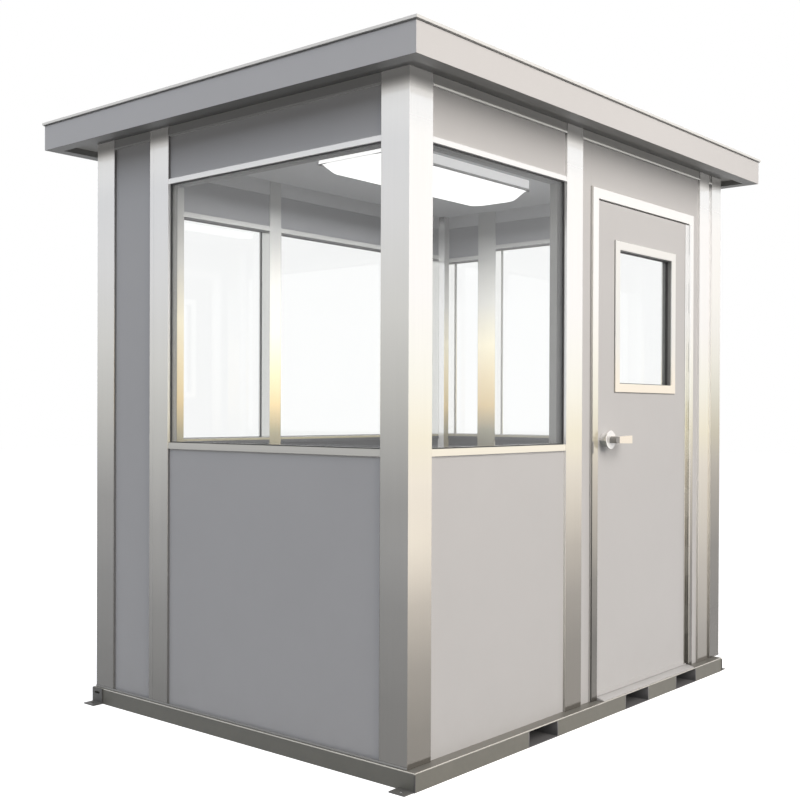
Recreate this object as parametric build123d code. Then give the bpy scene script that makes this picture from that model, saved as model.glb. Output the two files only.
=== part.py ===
"""Security guard booth: a small aluminium and panel cabin on a steel skid base.

Millimetres, +Z up. The origin is on the ground, under the middle of the roof.
The front wall faces -Y and the door is in the right wall, which faces +X.
Walls are set out by stations: the distance along a wall from its front or left
corner, and the depth behind the outer face of its posts.
"""
import os

from build123d import *

# ---------------------------------------------------------------- driving dimensions
WALL_WIDTH = 1734.0        # outer faces of the posts, along X
WALL_LENGTH = 2358.0       # outer faces of the posts, along Y

OVERHANG_LEFT = 178.0      # roof edge beyond the outer faces of the posts
OVERHANG_RIGHT = 146.0
OVERHANG_FRONT = 143.0
OVERHANG_BACK = 103.0

FLOOR_Z = 65.0             # top of the floor deck
SILL_BOTTOM = 1092.0
HEAD_BOTTOM = 2149.0
LEFT_HEAD_BOTTOM = 2119.0  # both windows of the left wall
LOW_HEAD_BOTTOM = 2102.0   # the narrow window at the back
SILL_HEIGHT = 25.0
HEAD_HEIGHT = 20.0
PANEL_TOP = 2339.0
CEILING_Z = 2358.0
SOFFIT_Z = 2378.0
FASCIA_BOTTOM = 2353.0
FASCIA_TOP = 2457.0
ROOF_TOP = 2470.0

POST_DEPTH = 82.0          # a post is deeper than the panel that it holds
PANEL_RECESS = 10.0        # panel face behind post face
PANEL_THICKNESS = 66.0
CORNER_POST = 120.0        # side of the square corner post
BINDER_POST = 118.0        # face of a post between two bays
SLIM_POST = 96.0           # face of the narrower post beyond the door
LEFT_POST = 73.0           # face of the post between the windows of the left wall
NEAR_POST = 124.0          # side of the front right corner post
BACK_RIGHT_FACE = 100.0    # the back right corner post is narrower on the right wall

LEDGE_RIGHT = 38.0         # base beyond the outer faces of the posts
LEDGE_LEFT = 12.0
LEDGE_FRONT = 7.0
LEDGE_BACK = -48.0         # the base ends under the back panels
DECK_THICKNESS = 5.0
RAIL_WEB = 4.0
RAIL_FLANGE = 38.0

FORK_POCKETS = ((659.0, 852.0), (1381.0, 1574.0), (1838.0, 2031.0))   # along the side walls
POCKET_WALL = 4.0
POCKET_FLOOR = 3.0

ANCHOR_THICKNESS = 5.0
ANCHOR_WIDTH = 68.0
ANCHOR_REACH = 48.0
ANCHOR_LEG = 64.0
ANCHOR_INSET_RIGHT = 4.0   # right-hand tabs stand in from the end of the base
SLOT_REACH = 24.0          # slot behind the rim of the base, on centre
SLOT_LENGTH = 24.0
SLOT_WIDTH = 12.0
LEG_SLOT_LENGTH = 34.0
LEG_SLOT_WIDTH = 9.0
LEG_SLOT_Z = 45.0

GLASS_THICKNESS = 6.0
GLASS_DEPTH = 16.0         # outer face of the glass behind the post face
GLASS_EDGE = 0.5           # the pane stops short of the bars round it
BAR_DEPTH = 2.0            # sill and head bars behind the post face

FASCIA_WIDTH = 57.0
FASCIA_SEAM = 0.4          # between the lengths of fascia at the corners
CAP_LIP = 8.0

DOOR_WIDTH = 806.0
DOOR_START = 1211.0        # station of the door's lock edge on the right wall
DOOR_BOTTOM = 82.0
DOOR_TOP = 2112.0
DOOR_THICKNESS = 44.0
DOOR_GAP = 5.5
DOOR_EDGE_BEVEL = 2.5      # lock edge leans back so that it clears the jamb as it swings
FRAME_FACE = 43.0          # width of the frame's face
FRAME_PROUD = 2.0          # frame face beyond the post face
DOOR_FACE_DEPTH = 4.0
STOP_THICKNESS = 20.0
STOP_REACH = 14.0
FRAME_DEPTH = 86.0
THRESHOLD_TOP = 76.0
THRESHOLD_TOE = 3.0

DOOR_GLASS_WIDTH = 468.0
DOOR_GLASS_HEIGHT = 562.0
DOOR_GLASS_MIDDLE_Z = 1646.0
TRIM_FACE = 36.0
TRIM_THICKNESS = 7.0
TRIM_LAP = 8.0             # trim over the edge of the cut-out

LOCK_BACKSET = 45.0
LOCK_Z = 1131.0
LOCK_BORE_R = 13.0
ROSE_R = 38.0
ROSE_LENGTH = 38.0
INSIDE_ROSE_R = 29.0       # small enough to pass the door stop
INSIDE_ROSE_LENGTH = 20.0
SPINDLE_R = 9.0
NECK_R = 14.0
LEVER_LENGTH = 122.0
LEVER_HEIGHT = 33.0
LEVER_THICKNESS = 12.0
LEVER_GAP = 18.0           # between the rose and the lever
NECK_GAP = 2.0             # between the rose and the neck of the lever

HINGE_R = 4.5
HINGE_OUT = 4.0            # hinge axis beyond the frame face
HINGE_KNUCKLES = 15
KNUCKLE_GAP = 1.0
HINGE_LEAF = 2.0
HINGE_WING = 27.0
HINGE_WEB_EDGE = 4.5       # the door's webs reach the knuckles on this side of the pin

LIGHT_WIDTH = 378.0
LIGHT_LENGTH = 1075.0
LIGHT_HOUSING = 48.0
LENS_DEPTH = 45.0
LENS_SIDE_SLOPE = 57.0
LENS_END_SLOPE = 20.0

# ---------------------------------------------------------------- worked out from them
LEFT_X = (OVERHANG_LEFT - OVERHANG_RIGHT - WALL_WIDTH) / 2
RIGHT_X = LEFT_X + WALL_WIDTH
FRONT_Y = (OVERHANG_FRONT - OVERHANG_BACK - WALL_LENGTH) / 2
BACK_Y = FRONT_Y + WALL_LENGTH

BASE_LEFT = LEFT_X - LEDGE_LEFT
BASE_RIGHT = RIGHT_X + LEDGE_RIGHT
BASE_FRONT = FRONT_Y - LEDGE_FRONT
BASE_BACK = BACK_Y + LEDGE_BACK
RAIL_TOP = FLOOR_Z - DECK_THICKNESS

ROOF_LEFT = LEFT_X - OVERHANG_LEFT
ROOF_RIGHT = RIGHT_X + OVERHANG_RIGHT
ROOF_FRONT = FRONT_Y - OVERHANG_FRONT
ROOF_BACK = BACK_Y + OVERHANG_BACK

PANEL_BACK = PANEL_RECESS + PANEL_THICKNESS
DOOR_END = DOOR_START + DOOR_WIDTH
FRAME_START = DOOR_START - DOOR_GAP - FRAME_FACE
FRAME_END = DOOR_END + DOOR_GAP + FRAME_FACE
FRAME_TOP = DOOR_TOP + DOOR_GAP + FRAME_FACE
DOOR_BACK_DEPTH = DOOR_FACE_DEPTH + DOOR_THICKNESS
LOCK_Y = FRONT_Y + DOOR_START + LOCK_BACKSET
HINGE_X = RIGHT_X + FRAME_PROUD + HINGE_OUT
HINGE_Y = FRONT_Y + DOOR_END + DOOR_GAP / 2

SILL_TOP = SILL_BOTTOM + SILL_HEIGHT
HEAD_TOP = HEAD_BOTTOM + HEAD_HEIGHT
LEFT_HEAD_TOP = LEFT_HEAD_BOTTOM + HEAD_HEIGHT
LOW_HEAD_TOP = LOW_HEAD_BOTTOM + HEAD_HEIGHT

# Stations of the bays of each wall, each as (start, end) between two posts.
FRONT_SIDE_BAY = (CORNER_POST, 361.0)
FRONT_WINDOW_BAY = (FRONT_SIDE_BAY[1] + BINDER_POST, WALL_WIDTH - NEAR_POST)
BACK_SIDE_BAY = (CORNER_POST, 330.0)
BACK_WINDOW_BAY = (BACK_SIDE_BAY[1] + BINDER_POST, WALL_WIDTH - CORNER_POST)
RIGHT_WINDOW_BAY = (NEAR_POST, 965.0)
RIGHT_CORNER_BAY = (2228.0, WALL_LENGTH - BACK_RIGHT_FACE)
DOOR_BAY = (RIGHT_WINDOW_BAY[1] + BINDER_POST, RIGHT_CORNER_BAY[0] - SLIM_POST)
LEFT_FRONT_BAY = (CORNER_POST, 927.0)
LEFT_BACK_BAY = (LEFT_FRONT_BAY[1] + LEFT_POST, WALL_LENGTH - CORNER_POST)


# ---------------------------------------------------------------- building blocks
def block(x0, x1, y0, y1, z0, z1):
    """A box between two opposite corners."""
    centre = ((x0 + x1) / 2, (y0 + y1) / 2, (z0 + z1) / 2)
    return Pos(*centre) * Box(abs(x1 - x0), abs(y1 - y0), abs(z1 - z0))


def wall_block(wall, bay, depths, heights):
    """A box in a wall, from its stations, its depths behind the post face and its heights."""
    (s0, s1), (d0, d1), (z0, z1) = bay, depths, heights
    if wall == "front":
        return block(LEFT_X + s0, LEFT_X + s1, FRONT_Y + d0, FRONT_Y + d1, z0, z1)
    if wall == "back":
        return block(LEFT_X + s0, LEFT_X + s1, BACK_Y - d0, BACK_Y - d1, z0, z1)
    if wall == "left":
        return block(LEFT_X + d0, LEFT_X + d1, FRONT_Y + s0, FRONT_Y + s1, z0, z1)
    return block(RIGHT_X - d0, RIGHT_X - d1, FRONT_Y + s0, FRONT_Y + s1, z0, z1)


def several(shapes):
    """Like pieces that don't touch, in one node."""
    return Compound(children=list(shapes))


def rod_along_x(x0, x1, y, z, radius):
    """A round bar along X."""
    return Pos((x0 + x1) / 2, y, z) * Rot(0, 90, 0) * Cylinder(radius, abs(x1 - x0))


NODES = {}


def node(name, shape):
    """Keep a finished piece under its node's name."""
    NODES[name] = shape


# ---------------------------------------------------------------- base
def channel_along_x(x0, x1, y_web, inward):
    """A steel channel along X with its web outwards; inward is +1 or -1 along Y."""
    web = block(x0, x1, y_web, y_web + inward * RAIL_WEB, 0, RAIL_TOP)
    inner = (x0 + RAIL_FLANGE, x1 - RAIL_FLANGE)
    low = block(*inner, y_web, y_web + inward * RAIL_FLANGE, 0, RAIL_WEB)
    high = block(*inner, y_web, y_web + inward * RAIL_FLANGE, RAIL_TOP - RAIL_WEB, RAIL_TOP)
    return web + low + high


def channel_along_y(y0, y1, x_web, inward):
    """A length of steel channel along Y with its web outwards; inward is +1 or -1 along X."""
    web = block(x_web, x_web + inward * RAIL_WEB, y0, y1, 0, RAIL_TOP)
    low = block(x_web, x_web + inward * RAIL_FLANGE, y0, y1, 0, RAIL_WEB)
    high = block(x_web, x_web + inward * RAIL_FLANGE, y0, y1, RAIL_TOP - RAIL_WEB, RAIL_TOP)
    return web + low + high


def side_rail(x_web, inward):
    """The side rail is cut where the fork pockets pass through it."""
    lengths = []
    start = BASE_FRONT + RAIL_WEB
    for pocket_start, pocket_end in FORK_POCKETS:
        lengths.append((start, FRONT_Y + pocket_start - POCKET_WALL))
        start = FRONT_Y + pocket_end + POCKET_WALL
    lengths.append((start, BASE_BACK - RAIL_WEB))
    return several(channel_along_y(y0, y1, x_web, inward) for y0, y1 in lengths)


def fork_pocket_walls():
    """A trough across the base forms the sides and the floor of each pocket."""
    troughs = []
    for pocket_start, pocket_end in FORK_POCKETS:
        near = FRONT_Y + pocket_start
        far = FRONT_Y + pocket_end
        outside = block(BASE_LEFT, BASE_RIGHT, near - POCKET_WALL, far + POCKET_WALL, 0, RAIL_TOP)
        troughs.append(outside - block(BASE_LEFT, BASE_RIGHT, near, far, POCKET_FLOOR, RAIL_TOP))
    return several(troughs)


def slot_cutter(x, y, z, length, width, turn):
    """A slot along X, cut down through a plate, or through an upright plate if turned."""
    cutter = extrude(SlotOverall(length, width), 4 * ANCHOR_THICKNESS, both=True)
    return Pos(x, y, z) * Rot(turn, 0, 0) * cutter


def leg_slot(y_base):
    """The slot of an upright anchor leg, which goes on through the web of the rail."""
    middle = BASE_LEFT + ANCHOR_WIDTH / 2
    return slot_cutter(middle, y_base, LEG_SLOT_Z, LEG_SLOT_LENGTH, LEG_SLOT_WIDTH, 90)


def anchor_plate(x0, y_base, outward):
    """A slotted foot plate that stands out from the base along Y."""
    reach = y_base + outward * ANCHOR_REACH
    plate = block(x0, x0 + ANCHOR_WIDTH, y_base, reach, 0, ANCHOR_THICKNESS)
    slot_y = y_base + outward * SLOT_REACH
    return plate - slot_cutter(x0 + ANCHOR_WIDTH / 2, slot_y, 0, SLOT_LENGTH, SLOT_WIDTH, 0)


def anchor_angle(x0, y_base, outward):
    """A foot plate with an upright leg against the base; the leg has a slot of its own."""
    leg = block(x0, x0 + ANCHOR_WIDTH, y_base, y_base + outward * ANCHOR_THICKNESS, 0, ANCHOR_LEG)
    return anchor_plate(x0, y_base, outward) + (leg - leg_slot(y_base))


def build_base():
    front = channel_along_x(BASE_LEFT, BASE_RIGHT, BASE_FRONT, 1)
    back = channel_along_x(BASE_LEFT, BASE_RIGHT, BASE_BACK, -1)
    node("base_front_rail", front - leg_slot(BASE_FRONT))
    node("base_back_rail", back - leg_slot(BASE_BACK))
    node("base_left_rail", side_rail(BASE_LEFT, 1))
    node("base_right_rail", side_rail(BASE_RIGHT, -1))
    node("fork_pocket_walls", fork_pocket_walls())
    node("floor_deck", block(BASE_LEFT, BASE_RIGHT, BASE_FRONT, BASE_BACK, RAIL_TOP, FLOOR_Z))
    ends = ((BASE_FRONT, -1), (BASE_BACK, 1))
    node("anchor_clips", several(anchor_angle(BASE_LEFT, y, out) for y, out in ends))
    tab_x = BASE_RIGHT - ANCHOR_INSET_RIGHT - ANCHOR_WIDTH
    node("anchor_tabs", several(anchor_plate(tab_x, y, out) for y, out in ends))


# ---------------------------------------------------------------- posts
def post(wall, start, width):
    """A post from the floor to the underside of the roof."""
    return wall_block(wall, (start, start + width), (0, POST_DEPTH), (FLOOR_Z, SOFFIT_Z))


def corner_post(x, y, to_right, to_back, front_face=CORNER_POST, side_face=CORNER_POST):
    """A corner post, from its outer corner inwards."""
    return block(x, x + to_right * front_face, y, y + to_back * side_face, FLOOR_Z, SOFFIT_Z)


def build_posts():
    node("corner_post_front_left", corner_post(LEFT_X, FRONT_Y, 1, 1))
    near = corner_post(RIGHT_X, FRONT_Y, -1, 1, NEAR_POST, NEAR_POST)
    node("corner_post_front_right", near)
    node("corner_post_back_left", corner_post(LEFT_X, BACK_Y, 1, -1))
    back_right = corner_post(RIGHT_X, BACK_Y, -1, -1, side_face=BACK_RIGHT_FACE)
    node("corner_post_back_right", back_right)
    node("binder_posts", several((
        post("front", FRONT_SIDE_BAY[1], BINDER_POST),
        post("back", BACK_SIDE_BAY[1], BINDER_POST),
        post("right", RIGHT_WINDOW_BAY[1], BINDER_POST),
        post("right", DOOR_BAY[1], SLIM_POST),
        post("left", LEFT_FRONT_BAY[1], LEFT_POST))))


# ---------------------------------------------------------------- wall panels
def panel(wall, bay, z0, z1):
    """An insulated panel that fills a bay between two heights."""
    return wall_block(wall, bay, (PANEL_RECESS, PANEL_BACK), (z0, z1))


def lower_panel(wall, bay):
    return panel(wall, bay, FLOOR_Z, SILL_BOTTOM)


def transom_panel(wall, bay, head_top=HEAD_TOP):
    return panel(wall, bay, head_top, PANEL_TOP)


def build_panels():
    node("front_side_panel", panel("front", FRONT_SIDE_BAY, FLOOR_Z, PANEL_TOP))
    node("front_lower_panel", lower_panel("front", FRONT_WINDOW_BAY))
    node("front_transom_panel", transom_panel("front", FRONT_WINDOW_BAY))
    node("right_lower_panel", lower_panel("right", RIGHT_WINDOW_BAY))
    node("right_transom_panel", transom_panel("right", RIGHT_WINDOW_BAY))
    node("door_header_panel", panel("right", (FRAME_START, FRAME_END), FRAME_TOP, PANEL_TOP))
    strips = ((DOOR_BAY[0], FRAME_START), (FRAME_END, DOOR_BAY[1]), RIGHT_CORNER_BAY)
    node("right_side_panels", several(panel("right", s, FLOOR_Z, PANEL_TOP) for s in strips))
    left_bays = (LEFT_FRONT_BAY, LEFT_BACK_BAY)
    back_bays = (BACK_SIDE_BAY, BACK_WINDOW_BAY)
    node("left_lower_panels", several(lower_panel("left", bay) for bay in left_bays))
    node("left_transom_panels", several(
        transom_panel("left", bay, LEFT_HEAD_TOP) for bay in left_bays))
    node("back_lower_panels", several(lower_panel("back", bay) for bay in back_bays))
    node("back_transom_panels", several((
        transom_panel("back", BACK_SIDE_BAY, LOW_HEAD_TOP),
        transom_panel("back", BACK_WINDOW_BAY))))


# ---------------------------------------------------------------- windows
# Each window as its bay and the underside of its head.
WINDOWS = {
    "front": ((FRONT_WINDOW_BAY, HEAD_BOTTOM),),
    "right": ((RIGHT_WINDOW_BAY, HEAD_BOTTOM),),
    "left": ((LEFT_FRONT_BAY, LEFT_HEAD_BOTTOM), (LEFT_BACK_BAY, LEFT_HEAD_BOTTOM)),
    "back": ((BACK_SIDE_BAY, LOW_HEAD_BOTTOM), (BACK_WINDOW_BAY, HEAD_BOTTOM)),
}


def window_bars(wall, bay, head_bottom):
    """The sill and the head of a window."""
    depths = (BAR_DEPTH, POST_DEPTH)
    sill = wall_block(wall, bay, depths, (SILL_BOTTOM, SILL_TOP))
    head = wall_block(wall, bay, depths, (head_bottom, head_bottom + HEAD_HEIGHT))
    return [sill, head]


def glass_pane(wall, bay, head_bottom):
    """A fixed pane between two posts, the sill and the head."""
    inner = (bay[0] + GLASS_EDGE, bay[1] - GLASS_EDGE)
    heights = (SILL_TOP + GLASS_EDGE, head_bottom - GLASS_EDGE)
    return wall_block(wall, inner, (GLASS_DEPTH, GLASS_DEPTH + GLASS_THICKNESS), heights)


def build_windows():
    bars = []
    for wall, windows in WINDOWS.items():
        for bay, head_bottom in windows:
            bars += window_bars(wall, bay, head_bottom)
        panes = [glass_pane(wall, bay, head_bottom) for bay, head_bottom in windows]
        node(wall + "_glass", panes[0] if len(panes) == 1 else several(panes))
    node("window_bars", several(bars))


# ---------------------------------------------------------------- roof
def build_roof():
    track_bays = {
        "front": (FRONT_SIDE_BAY, FRONT_WINDOW_BAY),
        "back": (BACK_SIDE_BAY, BACK_WINDOW_BAY),
        "left": (LEFT_FRONT_BAY, LEFT_BACK_BAY),
        "right": (RIGHT_WINDOW_BAY, DOOR_BAY, RIGHT_CORNER_BAY),
    }
    depths = (BAR_DEPTH, POST_DEPTH - BAR_DEPTH)
    node("top_track", several(
        wall_block(wall, bay, depths, (PANEL_TOP, SOFFIT_Z))
        for wall, bays in track_bays.items() for bay in bays))
    ceiling = block(
        LEFT_X + POST_DEPTH, RIGHT_X - POST_DEPTH,
        FRONT_Y + POST_DEPTH, BACK_Y - POST_DEPTH, CEILING_Z, SOFFIT_Z)
    for name in ("front_left", "front_right", "back_left", "back_right"):
        ceiling -= NODES["corner_post_" + name]
    node("ceiling_panel", ceiling)

    x0, x1 = ROOF_LEFT + FASCIA_WIDTH, ROOF_RIGHT - FASCIA_WIDTH
    y0, y1 = ROOF_FRONT + FASCIA_WIDTH, ROOF_BACK - FASCIA_WIDTH
    node("roof_panel", block(x0, x1, y0, y1, SOFFIT_Z, FASCIA_TOP))
    heights = (FASCIA_BOTTOM, FASCIA_TOP)
    side = (y0 + FASCIA_SEAM, y1 - FASCIA_SEAM)
    node("fascia", several((
        block(ROOF_LEFT, ROOF_RIGHT, ROOF_FRONT, y0, *heights),
        block(ROOF_LEFT, ROOF_RIGHT, y1, ROOF_BACK, *heights),
        block(ROOF_LEFT, x0, *side, *heights),
        block(x1, ROOF_RIGHT, *side, *heights))))
    node("roof_cap", block(
        ROOF_LEFT - CAP_LIP, ROOF_RIGHT + CAP_LIP,
        ROOF_FRONT - CAP_LIP, ROOF_BACK + CAP_LIP, FASCIA_TOP, ROOF_TOP))


# ---------------------------------------------------------------- ceiling light
def build_light():
    x = (LEFT_X + RIGHT_X) / 2
    y = (FRONT_Y + BACK_Y) / 2
    housing_z = CEILING_Z - LIGHT_HOUSING
    half = LIGHT_WIDTH / 2
    node("light_housing", block(
        x - half, x + half, y - LIGHT_LENGTH / 2, y + LIGHT_LENGTH / 2, housing_z, CEILING_Z))
    upper = Pos(x, y, housing_z) * Rectangle(LIGHT_WIDTH, LIGHT_LENGTH)
    lower_size = (LIGHT_WIDTH - 2 * LENS_SIDE_SLOPE, LIGHT_LENGTH - 2 * LENS_END_SLOPE)
    lower = Pos(x, y, housing_z - LENS_DEPTH) * Rectangle(*lower_size)
    node("light_lens", loft([lower, upper]))


# ---------------------------------------------------------------- door
def build_door_frame():
    opening = (DOOR_START - DOOR_GAP, DOOR_END + DOOR_GAP)
    depths = (-FRAME_PROUD, FRAME_DEPTH)
    outside = wall_block("right", (FRAME_START, FRAME_END), depths, (FLOOR_Z, FRAME_TOP))
    doorway = wall_block("right", opening, depths, (FLOOR_Z, DOOR_TOP + DOOR_GAP))
    stop_start = DOOR_BACK_DEPTH + DOOR_GAP
    stop_depths = (stop_start, stop_start + STOP_THICKNESS)
    stop = wall_block("right", opening, stop_depths, (FLOOR_Z, DOOR_TOP + DOOR_GAP))
    inner = (opening[0] + STOP_REACH, opening[1] - STOP_REACH)
    stop -= wall_block("right", inner, stop_depths, (FLOOR_Z, DOOR_TOP + DOOR_GAP - STOP_REACH))
    node("door_frame", outside - doorway + stop)

    # A low saddle between the jambs, sloped where it covers the ledge of the base.
    outer = BASE_RIGHT - THRESHOLD_TOE
    outline = Polyline(
        (outer, FLOOR_Z), (outer, FLOOR_Z + THRESHOLD_TOE), (RIGHT_X + FRAME_PROUD, THRESHOLD_TOP),
        (RIGHT_X - stop_start, THRESHOLD_TOP), (RIGHT_X - stop_start, FLOOR_Z), close=True)
    section = Pos(0, FRONT_Y + opening[0], 0) * Rot(90, 0, 0) * make_face(outline)
    node("door_threshold", extrude(section, opening[1] - opening[0], dir=(0, 1, 0)))


def build_door_leaf():
    leaf_depths = (DOOR_FACE_DEPTH, DOOR_BACK_DEPTH)
    x_out, x_in = RIGHT_X - DOOR_FACE_DEPTH, RIGHT_X - DOOR_BACK_DEPTH
    y_lock, y_hinge = FRONT_Y + DOOR_START, FRONT_Y + DOOR_END
    outline = Polyline(
        (x_out, y_lock), (x_out, y_hinge), (x_in, y_hinge), (x_in, y_lock + DOOR_EDGE_BEVEL),
        close=True)
    leaf = extrude(Pos(0, 0, DOOR_BOTTOM) * make_face(outline), DOOR_TOP - DOOR_BOTTOM,
                   dir=(0, 0, 1))
    middle = (DOOR_START + DOOR_END) / 2

    def window(half_extra, depths):
        half_width = DOOR_GLASS_WIDTH / 2 + half_extra
        half_height = DOOR_GLASS_HEIGHT / 2 + half_extra
        heights = (DOOR_GLASS_MIDDLE_Z - half_height, DOOR_GLASS_MIDDLE_Z + half_height)
        return wall_block("right", (middle - half_width, middle + half_width), depths, heights)

    leaf -= window(TRIM_LAP, leaf_depths)
    leaf -= rod_along_x(RIGHT_X, RIGHT_X - POST_DEPTH, LOCK_Y, LOCK_Z, LOCK_BORE_R)
    node("door_leaf", leaf)

    glass_start = (DOOR_FACE_DEPTH + DOOR_BACK_DEPTH - GLASS_THICKNESS) / 2
    glass_depths = (glass_start, glass_start + GLASS_THICKNESS)
    node("door_glass", window(TRIM_LAP - GLASS_EDGE, glass_depths))

    trims = []
    for depths in ((DOOR_FACE_DEPTH - TRIM_THICKNESS, DOOR_FACE_DEPTH),
                   (DOOR_BACK_DEPTH, DOOR_BACK_DEPTH + TRIM_THICKNESS)):
        trims.append(window(TRIM_FACE, depths) - window(0, depths))
    node("door_window_trim", several(trims))


def build_hinge():
    """A continuous hinge: knuckles on the frame and on the door take turns along the pin line."""
    pitch = (DOOR_TOP - DOOR_BOTTOM) / HINGE_KNUCKLES
    frame_side = []
    door_side = []
    for index in range(HINGE_KNUCKLES):
        z0 = DOOR_BOTTOM + index * pitch + KNUCKLE_GAP / 2
        height = pitch - KNUCKLE_GAP
        knuckle = Pos(HINGE_X, HINGE_Y, z0 + height / 2) * Cylinder(HINGE_R, height)
        if index % 2 == 0:
            web = block(RIGHT_X + FRAME_PROUD, RIGHT_X + FRAME_PROUD + HINGE_LEAF,
                        HINGE_Y, HINGE_Y + HINGE_WING / 2, z0, z0 + height)
            frame_side.append(knuckle + web)
        else:
            web = block(RIGHT_X - DOOR_FACE_DEPTH + HINGE_LEAF, HINGE_X,
                        HINGE_Y - HINGE_WEB_EDGE, HINGE_Y - HINGE_WEB_EDGE + HINGE_LEAF,
                        z0, z0 + height)
            door_side.append(knuckle + web)
    frame_wing = block(RIGHT_X + FRAME_PROUD, RIGHT_X + FRAME_PROUD + HINGE_LEAF,
                       HINGE_Y + HINGE_R + 1, HINGE_Y + HINGE_WING, DOOR_BOTTOM, DOOR_TOP)
    door_wing = block(RIGHT_X - DOOR_FACE_DEPTH, RIGHT_X - DOOR_FACE_DEPTH + HINGE_LEAF,
                      HINGE_Y - HINGE_R - HINGE_WING, HINGE_Y - HINGE_WEB_EDGE + HINGE_LEAF,
                      DOOR_BOTTOM, DOOR_TOP)
    node("hinge_frame_leaf", frame_wing + frame_side)
    node("hinge_door_leaf", door_wing + door_side)


def build_lock():
    outer_face = RIGHT_X - DOOR_FACE_DEPTH
    inner_face = RIGHT_X - DOOR_BACK_DEPTH
    outer_rose_end = outer_face + ROSE_LENGTH
    inner_rose_end = inner_face - INSIDE_ROSE_LENGTH
    outer_end = outer_rose_end + LEVER_GAP + LEVER_THICKNESS
    inner_end = inner_rose_end - LEVER_GAP - LEVER_THICKNESS

    bore = rod_along_x(inner_end, outer_end, LOCK_Y, LOCK_Z, LOCK_BORE_R)
    outside = rod_along_x(outer_face, outer_rose_end, LOCK_Y, LOCK_Z, ROSE_R)
    inside = rod_along_x(inner_face, inner_rose_end, LOCK_Y, LOCK_Z, INSIDE_ROSE_R)
    node("lock_roses", several((outside - bore, inside - bore)))

    lever = rod_along_x(inner_end, outer_end, LOCK_Y, LOCK_Z, SPINDLE_R)
    for end, rose_end, inward in ((outer_end, outer_rose_end, -1), (inner_end, inner_rose_end, 1)):
        lever += rod_along_x(end, rose_end - inward * NECK_GAP, LOCK_Y, LOCK_Z, NECK_R)
        lever += block(end, end + inward * LEVER_THICKNESS, LOCK_Y, LOCK_Y + LEVER_LENGTH,
                       LOCK_Z - LEVER_HEIGHT / 2, LOCK_Z + LEVER_HEIGHT / 2)
    node("door_lever", lever)


# ---------------------------------------------------------------- everything
def build_booth():
    build_base()
    build_posts()
    build_panels()
    build_windows()
    build_roof()
    build_light()
    build_door_frame()
    build_door_leaf()
    build_hinge()
    build_lock()


build_booth()
os.makedirs("parts", exist_ok=True)
for name, shape in NODES.items():
    export_step(shape, os.path.join("parts", name + ".step"))
print(len(NODES), "nodes")
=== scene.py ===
"""Looks of a small walk-in guard booth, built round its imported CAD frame.

Every length is in metres, in the frame of the CAD model: +Z up, the narrow front wall
faces -Y and the door is in the wall that faces +X.
"""
import math

import bmesh
import bpy
from mathutils import Matrix, Vector


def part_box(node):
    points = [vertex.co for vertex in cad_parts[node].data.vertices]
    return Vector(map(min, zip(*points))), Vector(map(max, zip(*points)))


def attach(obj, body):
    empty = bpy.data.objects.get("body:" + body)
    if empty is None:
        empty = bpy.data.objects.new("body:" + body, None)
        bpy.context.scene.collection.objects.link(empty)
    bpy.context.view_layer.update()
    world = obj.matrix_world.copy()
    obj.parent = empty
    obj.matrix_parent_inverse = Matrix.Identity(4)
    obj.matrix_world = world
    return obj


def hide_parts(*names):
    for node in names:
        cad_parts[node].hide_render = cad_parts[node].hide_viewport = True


bl_info = {
    "name": "Guard booth",
    "version": (1, 0, 0),
    "blender": (4, 5, 0),
    "location": "View3D > Sidebar > Guard Booth",
    "description": "Details and finishes for a small walk-in guard booth",
    "category": "Add Mesh",
}

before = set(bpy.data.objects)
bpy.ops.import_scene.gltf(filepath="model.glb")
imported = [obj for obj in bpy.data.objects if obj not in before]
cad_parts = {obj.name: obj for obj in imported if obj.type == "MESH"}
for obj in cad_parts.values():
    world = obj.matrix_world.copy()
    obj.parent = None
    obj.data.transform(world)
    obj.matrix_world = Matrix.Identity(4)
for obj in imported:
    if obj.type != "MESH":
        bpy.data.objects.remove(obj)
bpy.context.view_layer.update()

AXES = {"x": 0, "y": 1, "z": 2}
MERGE = 1e-5
HAIR = 0.001    # a small gap or overlap between neighbouring pieces
FLAT_ANGLE = math.radians(0.5)      # triangles that meet at less than this are one face
SMOOTH_ANGLE = math.radians(35)     # roundings are shaded smooth up to this angle
LEAST_RISE = 0.4    # an edge that rises by more than this share of its length is upright
# How much of a face's normal lies along an axis at least, for a face that looks that way.
STRAIGHT, ROUGHLY, PARTLY = 0.9, 0.6, 0.5


# ---------------------------------------------------------------- where the walls are
LEFT_X, FRONT_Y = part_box("corner_post_front_left")[0][:2]
RIGHT_X, BACK_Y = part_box("corner_post_back_right")[1][:2]
# the outer face of each wall's posts, and which way is in
WALLS = {"front": (FRONT_Y, 1), "back": (BACK_Y, -1), "left": (LEFT_X, 1), "right": (RIGHT_X, -1)}
POST_DEPTH = 0.082
PANEL_SET_BACK = 0.010
FLOOR_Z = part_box("floor_deck")[1][2]
TRACK_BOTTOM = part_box("top_track")[0][2]


# ---------------------------------------------------------------- what a user would change
def colour_of(name, description, default):
    return bpy.props.FloatVectorProperty(name=name, description=description, subtype="COLOR",
                                         size=3, min=0, max=1, default=default)


def length_of(name, description, default, low, high):
    return bpy.props.FloatProperty(name=name, description=description, default=default,
                                   min=low, max=high, unit="LENGTH")


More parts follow.
